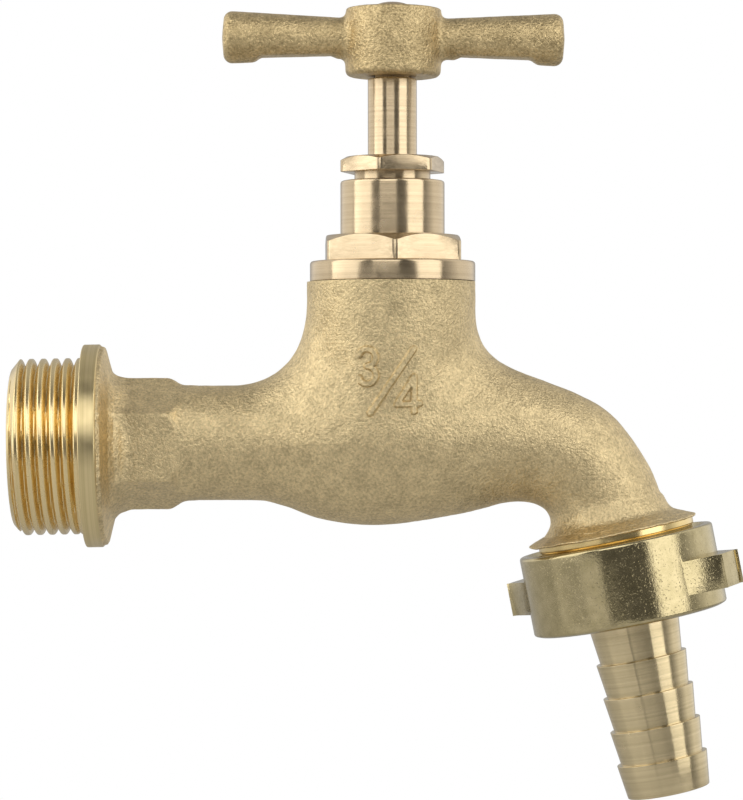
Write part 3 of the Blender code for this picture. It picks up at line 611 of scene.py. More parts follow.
def flare_field(points):
    """The spout's end, which flares out to the cast lip."""
    local = seen_from(OUTLET_FRAME, points)
    radius = np.hypot(local[:, 0] - LIP_SHIFT, local[:, 1])
    slope = [(8.3, 3.6), (8.75, 2.6), (9.3, 1.8), (10.3, 1.3), (11.5, 0.78)]
    outline = in_mm([(0.0, 3.6), *slope, (11.5, 0.1), (0.0, 0.1)])
    return section_field(radius, local[:, 2], outline)


def arc(centre, radius, start, end, steps=10):
    """Points of an arc in the mark's plane, with angles in degrees from the right."""
    angles = [math.radians(start + (end - start) * i / steps) for i in range(steps + 1)]
    return [(centre[0] + radius * math.cos(a), centre[1] + radius * math.sin(a)) for a in angles]


def mark_strokes():
    """Strokes of the plain size mark 3/4, as (across from the spindle, height) in millimetres."""
    upper_bowl = arc((-3.83, 12.73), 1.26, 165, -90)
    lower_bowl = arc((-3.83, 10.15), 1.32, 90, -165)
    slash = [(-3.36, 4.6), (3.0, 14.0)]
    four = [(3.02, 4.85), (3.02, 9.9), (0.5, 5.85), (3.8, 5.95)]
    return [upper_bowl + lower_bowl[1:], slash, four]


def mark_ridge(across, height):
    """Height of the raised mark above the globe, at places in the mark's plane."""
    gap = np.full(len(across), np.inf)
    for stroke in map(in_mm, mark_strokes()):
        for start, end in zip(stroke[:-1], stroke[1:]):
            gap = np.minimum(gap, stretch_gap(across, height, start, end))
    fall = np.clip((gap - MARK_FLAT) / (MARK_FOOT - MARK_FLAT), 0.0, 1.0)
    return MARK_HEIGHT * (1 - fall**2 * (3 - 2 * fall))


def near_mark(x, y, z):
    return (y < 0.0) & (np.abs(x - SPINDLE_X) < 5.2 * MM) & (z > 3.6 * MM) & (z < 15.2 * MM)


def under_spout(points):
    """1 on the inside of the spout's bend, falling to 0 round it."""
    reach = np.hypot(points[:, 0] - BEND[0], points[:, 2] - BEND[1])
    return np.clip((BEND_REACH - reach) / (0.5 * BEND_REACH), 0.0, 1.0)


def near_hexagon(x, y, z):
    return (x > 4.5 * MM) & (x < 15.6 * MM)


def body_field(points, route):
    run = run_and_neck_field(points, route)
    marked = near_mark(*points.T)
    run[marked] -= mark_ridge(points[marked, 0] - SPINDLE_X, points[marked, 2])
    solid = smooth_min(run, inlet_hexagon_field(points), INLET_HEX_FILLET)
    solid = smooth_min(solid, flange_back_field(points), FLANGE_FILLET)
    return smooth_min(solid, flare_field(points), FLARE_FILLET)


def cast_shell():
    """The outside of the casting: an even mesh over a rough union, slid onto the blend."""
    route = run_route()
    neck_frame = Matrix.Translation((SPINDLE_X + NECK_SHIFT, 0.0, 0.0))
    neck_profile = [(0.0, NECK_BLANK_TOP), (NECK_R, NECK_BLANK_TOP), (NECK_R, 0.0), (0.0, 0.0)]
    hexagon_profile = [(0.0, 3.0), (9.3, 3.0), (9.3, 14.5), (0.0, 14.5)]
    back_profile = [(0.0, 2.0), (14.7, 2.0), (14.7, 3.1), (8.4, 6.0), (0.0, 6.0)]
    flare_profile = [(0.0, 3.6), (8.3, 3.6), (11.2, 1.0), (11.2, 0.1), (0.0, 0.1)]
    blanks = [
        tube("run", route),
        turned("neck", neck_frame, neck_profile),
        turned("hexagon", INLET_FRAME, in_mm(hexagon_profile)),
        turned("back", NIPPLE_FRAME, in_mm(back_profile)),
        turned("flare", OUTLET_FRAME, in_mm(flare_profile)),
    ]
    shell = even_mesh("body", blanks, CAST_VOXEL)
    refine(shell, near_mark, 3)
    refine(shell, near_hexagon, 2)
    settle(shell, lambda points: body_field(points, route))
    soften(shell, under_spout, 40)
    roughen(shell, CAST_UNEVENNESS, 2.2 * MM)
    roughen(shell, CAST_UNEVENNESS * 0.6, 0.9 * MM)
    return shell


def inlet_nipple():
    """Nipple with its pipe thread, the machined rim of the flange and its face."""
    profile = [(0.0, -INLET_LENGTH), (INLET_ROOT_R - 0.4 * MM, -INLET_LENGTH)]
    start, end = -INLET_LENGTH + 0.05 * MM, -0.55 * MM
    profile += thread_rings(INLET_CREST_R, INLET_ROOT_R, start, end, THREAD_PITCH, INLET_THREAD_START)
    profile += rounded([
        (INLET_CREST_R, -0.5 * MM),
        (INLET_CREST_R, -0.02 * MM, EDGE),
        (FLANGE_R - 0.12 * MM, 0.0, EDGE),
        (FLANGE_R, 0.14 * MM, EDGE),
        (FLANGE_R, FLANGE_THICK - 0.2 * MM, EDGE),
        (FLANGE_R - 0.2 * MM, FLANGE_THICK, EDGE),
        (10.0 * MM, FLANGE_THICK),
        (0.0, FLANGE_THICK),
    ])
    return turned("nipple", NIPPLE_FRAME, profile)


def outlet_lip():
    """The thin, uneven cast lip at the end of the spout."""
    uneven = uneven_ring(3.2, 0.4)
    fine = uneven_ring(9.0, 2.7)
    edge = LIP_R + (0.16 * uneven + 0.08 * fine - 0.1) * MM
    drop = (0.14 * uneven + 0.1 * fine) * MM
    profile = [
        (8.6 * MM, 1.3 * MM),
        (10.4 * MM, 1.15 * MM),
        (edge - 1.1 * MM, 0.72 * MM),
        (edge - 0.4 * MM, 0.4 * MM + drop * 0.5),
        (edge - 0.05 * MM, 0.22 * MM + drop),
        (edge, 0.08 * MM + drop),
        (edge - 0.08 * MM, -0.04 * MM + drop),
        (edge - 0.5 * MM, -0.1 * MM + drop * 0.5),
        (8.6 * MM, -0.12 * MM),
    ]
    return turned("lip", OUTLET_FRAME @ Matrix.Translation((LIP_SHIFT, 0.0, 0.0)), profile)


def outlet_spigot():
    """The machined spigot under the lip, with a fine groove and the union's thread."""
    groove_r = SPIGOT_NECK_R - 0.25 * MM
    profile = rounded([
        (0.0, 0.4 * MM),
        (SPIGOT_NECK_R, 0.4 * MM),
        (SPIGOT_NECK_R, -0.95 * MM, EDGE),
        (groove_r, -1.15 * MM, EDGE),
        (groove_r, -1.7 * MM),
    ])
    start, end = SPIGOT_END + 0.2 * MM, -2.0 * MM
    profile += thread_rings(SPIGOT_R, SPIGOT_R - 0.9 * MM, start, end, THREAD_PITCH)[::-1]
    profile += [(SPIGOT_R - 1.3 * MM, SPIGOT_END), (0.0, SPIGOT_END)]
    return turned("spigot", OUTLET_FRAME, profile)


def waterway():
    """Cutters for the passages: in through the inlet, through the seat, and out."""
    bore_end = -INLET_LENGTH - MM
    inlet_profile = in_mm([(0.0, 21.0), (6.1, 21.0), (6.3, 5.0), (9.3, -1.3), (9.5, -1.7)])
    inlet_profile += [(9.5 * MM, bore_end + 1.5 * MM), (10.1 * MM, bore_end), (0.0, bore_end)]
    inlet_bore = turned("inlet_bore", NIPPLE_FRAME, inlet_profile)
    pipe_end = [(18.0, 0.0, 6.2), (22.0, 0.0, 6.2), (27.0, -1.6, 5.4)]
    pipe_end += [(31.5, -3.4, 4.8), (36.0, -4.6, 4.4), (45.0, -5.0, 4.3)]
    under_seat = tube("under_seat", smooth_route(pipe_end, 4))
    half_turn = np.linspace(0.0, math.pi, 24)
    pool_profile = in_mm([(8.7 * math.sin(a), -5.0 + 4.6 * math.cos(a)) for a in half_turn])
    pool = turned("seat_pool", SPINDLE_FRAME, pool_profile, steps=64)
    chamber_profile = [(0.0, 34.0), (10.6, 34.0), (10.6, 12.5), (9.9, 11.9), (9.9, 2.0)]
    chamber_profile += [(7.8, 2.0), (7.8, 3.2), (6.0, 3.2), (6.0, -4.5), (0.0, -4.5)]
    chamber = turned("chamber", SPINDLE_FRAME, in_mm(chamber_profile), steps=120)
    over_seat = [(49.5, 6.5, 4.6), (55.0, 5.0, 5.8), (61.0, 2.4, 6.7), (66.5, 0.8, 6.7)]
    over_seat += [(72.8, -2.7, 6.2), (76.4, -7.2, 6.2), (78.1, -10.8, 6.3), (79.2, -14.6, 6.4)]
    spout = tube("spout_bore", smooth_route(over_seat, 4))
    mouth_profile = [(0.0, 0.6), (5.9, 0.6), (8.2, -1.6), (8.2, -7.9), (0.0, -7.9)]
    mouth = turned("mouth", OUTLET_FRAME, in_mm(mouth_profile), steps=120)
    return [inlet_bore, under_seat, pool, chamber, spout, mouth]


def give(obj, materials, index):
    """Sets the object's material slots, and the slot that all of its faces use."""
    obj.data.materials.clear()
    for material in materials:
        obj.data.materials.append(material)
    obj.data.polygons.foreach_set("material_index", [index] * len(obj.data.polygons))
    return obj


def make_body():
    finishes = [CAST_BRASS, NIPPLE_BRASS, SPIGOT_BRASS, BORE_BRASS, FLANGE_BRASS]
    body = give(cast_shell(), finishes, 0)
    top = block("top_cut", 20 * MM, NECK_TOP, NECK_TOP + 9 * MM)
    nipple = give(inlet_nipple(), finishes, 1)
    for face in nipple.data.polygons:
        if face.center.z > -0.05 * MM:
            face.material_index = finishes.index(FLANGE_BRASS)
    added = [nipple, give(outlet_spigot(), finishes, 2)]
    added.append(give(outlet_lip(), finishes, 0))
    combine(body, [give(top, finishes, 3)], "DIFFERENCE")
    combine(body, added, "UNION")
    combine(body, [give(cutter, finishes, 3) for cutter in waterway()], "DIFFERENCE")
    finish_piece(body, "cast_body", "tap_body", "body")


def finish_piece(obj, name, body, node, look=None):
    """Names the piece, hides the CAD node it stands for, and makes it ride on its body."""
    obj.name = name
    if look:
        give(obj, [look], 0)
    smooth(obj)
    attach(obj, body)
    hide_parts(node)


# ---- headpart and gland


def chamfered_hexagon(across_flats, heights, turn, fall, inner_r):
    """A hexagonal ring whose top corners are turned off by a shallow cone."""
    bottom, top = heights
    inside = (np.arange(STEPS) * math.tau / STEPS) % (math.pi / 3) - math.pi / 6
    flat_r = across_flats / 2 - EDGE
    corner_r = across_flats / 2 / math.cos(math.pi / 6)
    reach = np.minimum(across_flats / 2 / np.cos(inside), corner_r - HEX_CORNER_LOSS)
    fallen = top - fall * (reach - flat_r) / (corner_r + 0.2 * MM - flat_r)
    profile = [
        (inner_r, bottom),
        (reach - 0.08 * MM, bottom),
        (reach, bottom + 0.08 * MM),
        (reach, fallen - 0.1 * MM),
        (reach - 0.03 * MM, fallen - 0.03 * MM),
        (reach - 0.1 * MM, fallen + 0.02 * MM),
        (flat_r, top),
        (flat_r - 0.3 * MM, top),
        (inner_r, top),
    ]
    return turned("hexagon", SPINDLE_FRAME, profile, turn - math.pi / 2)


def make_bonnet():
    bore = SHANK_R + SHANK_PLAY
    corners = [
        (BARREL_R, BARREL_TOP, 0.5 * MM),
        (BARREL_R, BONNET_HEX_TOP + 0.5 * MM),
        (BARREL_R, BONNET_HEX_TOP - 0.1 * MM, 0.25 * MM),
        (9.4 * MM, BONNET_HEX_TOP - 0.35 * MM),
        (9.4 * MM, COLLAR_TOP),
        (COLLAR_R, COLLAR_TOP, 0.55 * MM),
        (COLLAR_R, SKIRT_BOTTOM, 0.05 * MM),
        (COLLAR_R - 0.17 * MM, SKIRT_BOTTOM),
        (COLLAR_R - 0.17 * MM, COLLAR_BOTTOM),
        (10.3 * MM, COLLAR_BOTTOM),
        (10.3 * MM, 14.9 * MM),
        (9.8 * MM, 14.4 * MM),
        (6.1 * MM, 14.4 * MM),
        (6.1 * MM, 28.9 * MM),
        (bore, 28.9 * MM),
        (bore, 30.2 * MM),
        (STUFFING_R, 30.2 * MM),
        (STUFFING_R, BARREL_TOP, 0.2 * MM),
    ]
    bonnet = turned("bonnet", SPINDLE_FRAME, rounded(corners))
    heights = (COLLAR_TOP - 0.2 * MM, BONNET_HEX_TOP)
    hexagon = chamfered_hexagon(BONNET_HEX_AF, heights, BONNET_HEX_TURN, BONNET_HEX_FALL, 8.6 * MM)
    combine(bonnet, [hexagon], "UNION")
    finish_piece(bonnet, "headpart", "tap_body", "bonnet", TURNED_BRASS)


def make_gland_nut():
    bore = SHANK_R + SHANK_PLAY
    corners = [
        (6.5 * MM, GLAND_HEX_TOP - 0.1 * MM),
        (6.5 * MM, GLAND_HEX_BOTTOM + 0.2 * MM),
        (GLAND_THREAD_R, GLAND_HEX_BOTTOM + 0.1 * MM),
        (GLAND_THREAD_R, 37.4 * MM),
        (GLAND_THREAD_R - 0.3 * MM, 37.1 * MM),
        (bore, 37.1 * MM),
        (bore, GLAND_HEX_TOP - 0.1 * MM),
    ]
    nut = turned("gland", SPINDLE_FRAME, rounded(corners))
    heights = (GLAND_HEX_BOTTOM, GLAND_HEX_TOP)
    hole_r = bore + 0.35 * MM
    hexagon = chamfered_hexagon(GLAND_HEX_AF, heights, GLAND_HEX_TURN, GLAND_HEX_FALL, hole_r)
    combine(nut, [hexagon], "UNION")
    finish_piece(nut, "gland_hexagon_nut", "tap_body", "gland_nut", TURNED_BRASS)


# ---- spindle and handle


def make_spindle():
    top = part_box("spindle")[1].z
    dome_high = top - HUB_TOP - RIVET_FOOT
    quarter = np.linspace(0.0, math.pi / 2, 12)
    dome = [(RIVET_R * math.sin(a), top - dome_high * (1 - math.cos(a))) for a in quarter]
    lopsided = np.clip(np.cos(np.arange(STEPS) * math.tau / STEPS), 0.0, 1.0) ** 2
    peened = RIVET_R + 0.75 * MM + (0.35 * uneven_ring(1.6, 1.1) + 1.35 * lopsided) * MM
    profile = dome + [
        (RIVET_R + 0.05 * MM, HUB_TOP + RIVET_FOOT),
        (peened - 0.3 * MM, HUB_TOP + 0.22 * MM),
        (peened, HUB_TOP + 0.08 * MM),
        (peened - 0.1 * MM, HUB_TOP - 0.3 * MM),
    ]
    profile += rounded([
        (2.4 * MM, HUB_TOP - 0.4 * MM),
        (2.4 * MM, SHANK_TOP),
        (SHANK_R, SHANK_TOP, 0.25 * MM),
        (SHANK_R, SHOULDER_Z, EDGE),
        (5.0 * MM, SHOULDER_Z),
    ])
    start, end = SPINDLE_THREAD
    threads = thread_rings(5.8 * MM, 5.0 * MM, start, end, SPINDLE_PITCH, chamfered=False)
    socket = [(2.75, 8.6), (2.75, 13.4), (3.1, 13.4), (3.1, 14.4), (2.75, 14.4), (2.75, 16.3), (0.0, 16.9)]
    profile += threads[::-1] + in_mm([(4.6, 11.5), (4.6, 8.6)] + socket)
    spindle = turned("spindle", SPINDLE_FRAME, profile)
    combine(spindle, [block("tenon", TENON_HALF, 53.5 * MM, HUB_TOP)], "UNION")
    body = "spindle_and_handle"
    finish_piece(spindle, "spindle_shank", body, "spindle", TURNED_BRASS)


def hub_field(points):
    radius = np.hypot(points[:, 0], points[:, 1])
    height = points[:, 2]
    halves = []
    for end, rounding in ((HUB_TOP, HUB_TOP_EDGE), (HUB_BOTTOM, HUB_BOTTOM_EDGE)):
        inward = math.copysign(rounding, HUB_PARTING - end)
        rim = (HUB_END_R - rounding, end + inward)
        outline = [(0.0, end + inward), rim, (HUB_R - rounding, HUB_PARTING), (0.0, HUB_PARTING)]
        halves.append(section_field(radius, height, outline) - rounding)
    return np.where(height > HUB_PARTING, halves[0], halves[1])


def arm_field(points):
    """Both arms, flattened below between the hub and the ends."""
    reach = np.abs(points[:, 0])
    along = np.abs(points[:, 0] - RELIEF_SHIFT)
    radius = np.hypot(points[:, 1], points[:, 2] - ARM_Z)
    root_r = ARM_ROOT_R - ARM_ROUNDING
    tip = ARM_REACH - ARM_ROUNDING
    outline = [
        (0.0, ARM_START),
        (root_r, ARM_START),
        (root_r, HUB_R - MM),
        (ARM_END_R - ARM_ROUNDING, tip - 0.25 * MM),
        (0.0, tip),
    ]
    arm = section_field(radius, reach, outline) - ARM_ROUNDING
    under = points[:, 2] - ARM_Z + RELIEF_DEPTH + reach * math.tan(RELIEF_TILT)
    ends = np.maximum((along - RELIEF_END) * 0.7 + under * 0.7, RELIEF_START - along)
    relief = np.maximum(ends, under)
    return smooth_max(arm, -relief, 0.35 * MM)


def handle_field(points):
    return smooth_min(hub_field(points), arm_field(points), 1.1 * MM)


def make_handle():
    hub_profile = [(0.0, HUB_TOP), (HUB_END_R, HUB_TOP), (HUB_END_R, HUB_BOTTOM), (0.0, HUB_BOTTOM)]
    hub = turned("hub", HANDLE_FRAME, hub_profile)
    centre = Matrix.Translation((0.0, 0.0, ARM_Z))
    arm_frame = HANDLE_FRAME @ centre @ Matrix.Rotation(math.pi / 2, 4, "Y")
    one_arm = [(3.7 * MM, ARM_REACH - 1.2 * MM), (3.0 * MM, ARM_REACH), (0.0, ARM_REACH)]
    other_arm = [(radius, -reach) for radius, reach in reversed(one_arm)]
    arms = turned("arms", arm_frame, other_arm + [(ARM_ROOT_R, 0.0)] + one_arm, steps=64)
    handle = even_mesh("handle", [hub, arms], HANDLE_VOXEL, HANDLE_FRAME)
    settle(handle, handle_field)
    roughen(handle, 0.02 * MM, 1.2 * MM)
    hole = block("square_hole", TENON_HALF + 0.1 * MM, HUB_BOTTOM - MM, HUB_TOP + MM)
    combine(handle, [hole], "DIFFERENCE")
    body = "spindle_and_handle"
    finish_piece(handle, "t_handle", body, "handle", HANDLE_BRASS)


# ---- union


def make_lug(name, turn, rise):
    """A lug with straight sides, a small fillet before its tip and bevelled edges."""
    bottom = LUG_BOTTOM + rise
    root = math.sqrt(NUT_R**2 - LUG_ROOT_HALF**2) - 0.05 * MM
    bend = Vector((root + LUG_SIDE, LUG_TIP_HALF + 0.15 * MM))
    start = Vector((root, LUG_ROOT_HALF))
    before = bend + (start - bend).normalized() * LUG_FILLET
    after = bend + Vector((LUG_FILLET, 0.0))
    half = [(root - 0.8 * MM, LUG_ROOT_HALF), tuple(start)]
    for t in np.linspace(0.0, 1.0, 8):
        half.append(tuple((1 - t) ** 2 * before + 2 * t * (1 - t) * bend + t**2 * after))
    half.append((LUG_REACH - LUG_CORNER, LUG_TIP_HALF))
    half.append((LUG_REACH, LUG_TIP_HALF - LUG_CORNER))
    outline = half + [(out, -across) for out, across in reversed(half)]
    count = len(outline)
    points = [(*spot, height) for height in (bottom, bottom + LUG_HEIGHT) for spot in outline]
    faces = [list(range(count)), list(range(count, 2 * count))] + ring_faces(2, count, False)
    lug = new_object(name, mesh_from(name, points, faces), NUT_FRAME @ Matrix.Rotation(turn, 4, "Z"))
    bevel = lug.modifiers.new("edges", "BEVEL")
    bevel.width = 0.35 * MM
    bevel.segments = 3
    bevel.angle_limit = math.radians(30.0)
    return apply_modifiers(lug)


def make_union_nut():
    corners = [
        (NUT_THREAD_R + 0.6 * MM, NUT_TOP),
        (NUT_R, NUT_TOP, 0.6 * MM),
        (NUT_R, NUT_TOP - 3 * MM),
        (NUT_R, NUT_BOTTOM + 1.6 * MM),
        (NUT_R, NUT_BOTTOM + 0.35 * MM, 0.3 * MM),
        (NUT_R - 0.9 * MM, NUT_BOTTOM, 0.3 * MM),
        (NUT_HOLE_R, NUT_BOTTOM, 0.2 * MM),
        (NUT_HOLE_R, NUT_FLOOR, 0.2 * MM),
        (NUT_THREAD_R, NUT_FLOOR),
        (NUT_THREAD_R, NUT_TOP - 0.6 * MM),
    ]
    nut = turned("union_nut", NUT_FRAME, rounded(corners))
    front = make_lug("lug_front", -LUG_TURN, -LUG_UNEVENNESS)
    back = make_lug("lug_back", math.pi - LUG_TURN, LUG_UNEVENNESS)
    combine(nut, [front, back], "UNION")
    finish_piece(nut, "lugged_union_nut", "union_nut", "union_nut", NUT_BRASS)


def make_hose_tail():
    collar_bottom = NUT_FLOOR + 0.3 * MM
    corners = [
        (TAIL_COLLAR_R, TAIL_COLLAR_TOP, 0.2 * MM),
        (TAIL_COLLAR_R, collar_bottom, 0.2 * MM),
        (BARB_CREST_R, collar_bottom, 0.2 * MM),
        (BARB_CREST_R, NUT_BOTTOM),
    ]
    for barb in range(BARB_COUNT):
        height = BARB_TOP - barb * BARB_PITCH
        corners.append((BARB_ROOT_R, height, EDGE))
        corners.append((BARB_CREST_R, height, EDGE))
    tail_end = BARB_TOP - BARB_COUNT * BARB_PITCH
    corners += [
        (BARB_ROOT_R, tail_end, 0.15 * MM),
        (TAIL_BORE_R, tail_end, 0.3 * MM),
        (TAIL_BORE_R, TAIL_COLLAR_TOP, 0.2 * MM),
    ]
    tail = turned("hose_tail", OUTLET_FRAME, rounded(corners))
    finish_piece(tail, "barbed_tail", "hose_tail", "hose_tail", TAIL_BRASS)


# ---- materials


def add_node(tree, kind, inputs=None, **settings):
    """Adds a shader node. Each input is a value, or the socket that feeds it."""
    made = tree.nodes.new("ShaderNode" + kind)
    for name, value in settings.items():
        setattr(made, name, value)
    for key, value in (inputs or {}).items():
        if isinstance(value, bpy.types.NodeSocket):
            tree.links.new(value, made.inputs[key])
        else:
            made.inputs[key].default_value = value
    return made


def new_material(name, metallic, roughness):
    material = bpy.data.materials.new(name)
    material.use_nodes = True
    tree = material.node_tree
    shader = tree.nodes["Principled BSDF"]
    shader.inputs["Metallic"].default_value = metallic
    shader.inputs["Roughness"].default_value = roughness
    where = add_node(tree, "TexCoord").outputs["Object"]
    return material, tree, shader, where


def connect(tree, shader, colour, normal=None, rough=None):
    """Feeds the shader's colour, and its normal and roughness where they are given."""
    for name, socket in (("Base Color", colour), ("Normal", normal), ("Roughness", rough)):
        if socket is not None:
            tree.links.new(socket, shader.inputs[name])


def noise_at(tree, where, size, detail=2.0, roughness=0.5):
    """Noise whose patches are about that size, in metres."""
    inputs = {"Vector": where, "Scale": 1 / size, "Detail": detail, "Roughness": roughness}
    return add_node(tree, "TexNoise", inputs).outputs["Fac"]


def colours_of(tree, factor, stops):
    ramp = add_node(tree, "ValToRGB", {0: factor})
    elements = ramp.color_ramp.elements
    while len(elements) < len(stops):
        elements.new(1.0)
    for element, (position, colour) in zip(elements, stops):
        element.position = position
        element.color = (*colour, 1.0)
    return ramp.outputs["Color"]


def spread(tree, factor, low, high, start=0.25, end=0.75):
    """The factor's range from start to end, spread from low to high."""
    inputs = {"Value": factor, "From Min": start, "From Max": end, "To Min": low, "To Max": high}
    return add_node(tree, "MapRange", inputs).outputs["Result"]


def bumped(tree, height, distance, normal=None):
    inputs = {"Height": height, "Distance": distance, "Strength": 1.0}
    if normal is not None:
        inputs["Normal"] = normal
    return add_node(tree, "Bump", inputs).outputs["Normal"]


def cast_material(name, dark, light, roughness, grain):
    """Blasted casting skin: a grain bump over a slow unevenness. The colour is a mottled tone with dark
    and bright specks, painted shade in the grain's pits and painted glints on its raised grains.
    """
    material, tree, shader, where = new_material(name, 1.0, roughness)
    mottle = noise_at(tree, where, 2.4 * MM, 3.0, 0.6)
    specks = noise_at(tree, where, 0.4 * MM, roughness=0.7)
    # The specks here are the bump's own grain noise: dark specks are painted shade in its pits, and bright
    # specks are painted glints on its raised grains.
    mottle_and_painted_grain_shading = add_node(tree, "Mix", {"Factor": 0.65, "A": mottle, "B": specks}).outputs["Result"]
    colour = colours_of(tree, mottle_and_painted_grain_shading, [(0.37, dark), (0.63, light)])
    rough = spread(tree, noise_at(tree, where, 0.5 * MM), roughness - 0.08, roughness + 0.08)
    slow = bumped(tree, noise_at(tree, where, 1.4 * MM), 0.07 * MM)
    connect(tree, shader, colour, bumped(tree, specks, grain, slow), rough)
    return material


def turned_material(name, dark, light, roughness, lines, place=ROW_FRAME, spread_along=0.0):
    """Turned metal: fine rings round the frame's Z axis, on its sides and on its faces. The
    rings may also spread its gloss along the axis, on a piece whose own Z is that axis."""
    material, tree, shader, where = new_material(name, 1.0, roughness)
    if spread_along > 0.0:
        shader.inputs["Anisotropic"].default_value = spread_along
        shader.inputs["Anisotropic Rotation"].default_value = 0.25
        tangent = add_node(tree, "Tangent", direction_type="RADIAL", axis="Z")
        tree.links.new(tangent.outputs["Tangent"], shader.inputs["Tangent"])
    turned_round = add_node(
        tree,
        "Mapping",
        {"Vector": where, "Location": place.translation, "Rotation": place.to_euler()},
        vector_type="TEXTURE",
    ).outputs["Vector"]
    parts = add_node(tree, "SeparateXYZ", {"Vector": turned_round})
    flat = add_node(tree, "CombineXYZ", {"X": parts.outputs["X"], "Y": parts.outputs["Y"]})
    radius = add_node(tree, "VectorMath", {0: flat.outputs["Vector"]}, operation="LENGTH")
    ring = add_node(tree, "CombineXYZ", {"X": radius.outputs["Value"], "Z": parts.outputs["Z"]})
    rings = noise_at(tree, ring.outputs["Vector"], 0.22 * MM, 3.0, 0.6)
    tint = noise_at(tree, ring.outputs["Vector"], 0.5 * MM, 3.0, 0.6)
    colour = colours_of(tree, tint, [(0.35, dark), (0.65, light)])
    smudge = noise_at(tree, where, 3.0 * MM, 3.0)
    rough = spread(tree, smudge, roughness * 0.8, roughness * 1.35)
    slow = bumped(tree, noise_at(tree, where, 2.4 * MM, 1.0), 0.012 * MM)
    connect(tree, shader, colour, bumped(tree, rings, lines, slow), rough)
    return material


def nut_material():
    """Tumbled, bright brass: mirror-like with a ripple, tiny pits and slight stains."""
    material, tree, shader, where = new_material("nut_brass_look", 1.0, 0.1)
    stain = noise_at(tree, where, 1.8 * MM, 4.0, 0.7)
    colour = colours_of(tree, stain, [(0.3, (0.45, 0.375, 0.2)), (0.65, (0.57, 0.475, 0.27))])
    rough = spread(tree, noise_at(tree, where, 0.8 * MM), 0.12, 0.2)
    ripple = bumped(tree, noise_at(tree, where, 0.45 * MM, 3.0, 0.7), 0.02 * MM)
    pits = spread(tree, noise_at(tree, where, 0.3 * MM, 1.0), 0.0, 1.0, 0.62, 0.8)
    connect(tree, shader, colour, bumped(tree, pits, -0.018 * MM, ripple), rough)
    return material


def soft_material(name, dark, light, roughness, size):
    """A dull, non-metal washer material with fine grain."""
    material, tree, shader, where = new_material(name, 0.0, roughness)
    patches = noise_at(tree, where, size, 3.0)
    colour = colours_of(tree, patches, [(0.3, dark), (0.7, light)])
    grain = bumped(tree, noise_at(tree, where, size / 3), 0.05 * MM)
    connect(tree, shader, colour, grain)
    return material


CAST_BRASS = cast_material("cast_brass_look", (0.51, 0.405, 0.225), (0.86, 0.685, 0.385), 0.45, 0.19 * MM)
HANDLE_BRASS = cast_material("handle_brass_look", (0.4, 0.3, 0.15), (0.8, 0.62, 0.33), 0.37, 0.24 * MM)
TURNED_BRASS = turned_material(
    "turned_brass_look", (0.585, 0.455, 0.285), (0.69, 0.545, 0.35), 0.22, 0.008 * MM, spread_along=0.92
)
TAIL_BRASS = turned_material(
    "tail_brass_look", (0.6, 0.49, 0.285), (0.73, 0.595, 0.36), 0.21, 0.004 * MM, spread_along=0.92
)
NIPPLE_BRASS = turned_material(
    "nipple_brass_look", (0.78, 0.61, 0.31), (0.9, 0.72, 0.4), 0.24, 0.004 * MM, NIPPLE_FRAME
)
FLANGE_BRASS = turned_material(
    "flange_brass_look", (0.66, 0.53, 0.27), (0.8, 0.65, 0.36), 0.33, 0.008 * MM, NIPPLE_FRAME
)
SPIGOT_BRASS = turned_material(
    "spigot_brass_look", (0.82, 0.62, 0.28), (0.92, 0.71, 0.34), 0.2, 0.005 * MM, OUTLET_FRAME
)
BORE_BRASS = turned_material(
    "bore_brass_look", (0.5, 0.38, 0.2), (0.6, 0.47, 0.26), 0.3, 0.01 * MM, SPINDLE_FRAME
)
NUT_BRASS = nut_material()


def dress_hidden_pieces():
    """Finishes for the CAD pieces that stay as they are."""
    rubber = soft_material("rubber_look", (0.015, 0.015, 0.015), (0.03, 0.03, 0.03), 0.6, 0.8 * MM)
    fibre = soft_material("fibre_look", (0.045, 0.03, 0.02), (0.08, 0.055, 0.035), 0.8, 0.6 * MM)
    packing = soft_material("packing_look", (0.05, 0.05, 0.05), (0.11, 0.11, 0.1), 0.6, 0.5 * MM)
    inner = turned_material(
        "inner_brass_look", (0.6, 0.47, 0.27), (0.72, 0.58, 0.35), 0.22, 0.008 * MM, SPINDLE_FRAME
    )
    bronze = turned_material(
        "bronze_look", (0.5, 0.33, 0.18), (0.62, 0.43, 0.25), 0.28, 0.008 * MM, SPINDLE_FRAME
    )
    finishes = [
        (fibre, ["bonnet_gasket"]),
        (packing, ["packing_ring_upper", "packing_ring_middle", "packing_ring_lower"]),
        (rubber, ["seat_washer", "hose_tail_gasket"]),
        (bronze, ["jumper_snap_ring"]),
        (inner, ["gland_follower", "stuffing_box_washer", "jumper_valve"]),
        (inner, ["seat_washer_plate", "seat_washer_nut"]),
    ]
    for material, names in finishes:
        for name in names:
            for material_slot in frame["nodes"][name].material_slots:
                material_slot.material = material


# ---- light, floor and camera


def direction(azimuth, elevation):
    """Unit vector seen from the object: azimuth 0 is to the camera, 90 to the right."""
    a, e = math.radians(azimuth), math.radians(elevation)
    return Vector((math.sin(a) * math.cos(e), -math.cos(a) * math.cos(e), math.sin(e)))


def softbox(name, azimuths, elevations, radiance):
    """A rectangular area light that covers those angles as seen from the object."""
    light = bpy.data.lights.new(f"{name}_softbox", "AREA")
    light.shape = "RECTANGLE"
    level = math.radians(sum(elevations) / 2)
    width = 2 * LIGHT_DISTANCE * math.tan(math.radians(azimuths[1] - azimuths[0]) / 2)
    light.size = width * math.cos(level)
    light.size_y = 2 * LIGHT_DISTANCE * math.tan(math.radians(elevations[1] - elevations[0]) / 2)
    light.energy = math.pi * light.size * light.size_y * radiance
    toward = direction(sum(azimuths) / 2, sum(elevations) / 2)
    centre = (CAD_BOX[0] + CAD_BOX[1]) / 2
    obj = new_object(light.name, light, Matrix.Translation(centre + toward * LIGHT_DISTANCE))
    obj.rotation_euler = toward.to_track_quat("Z", "Y").to_euler()
    obj.visible_camera = False


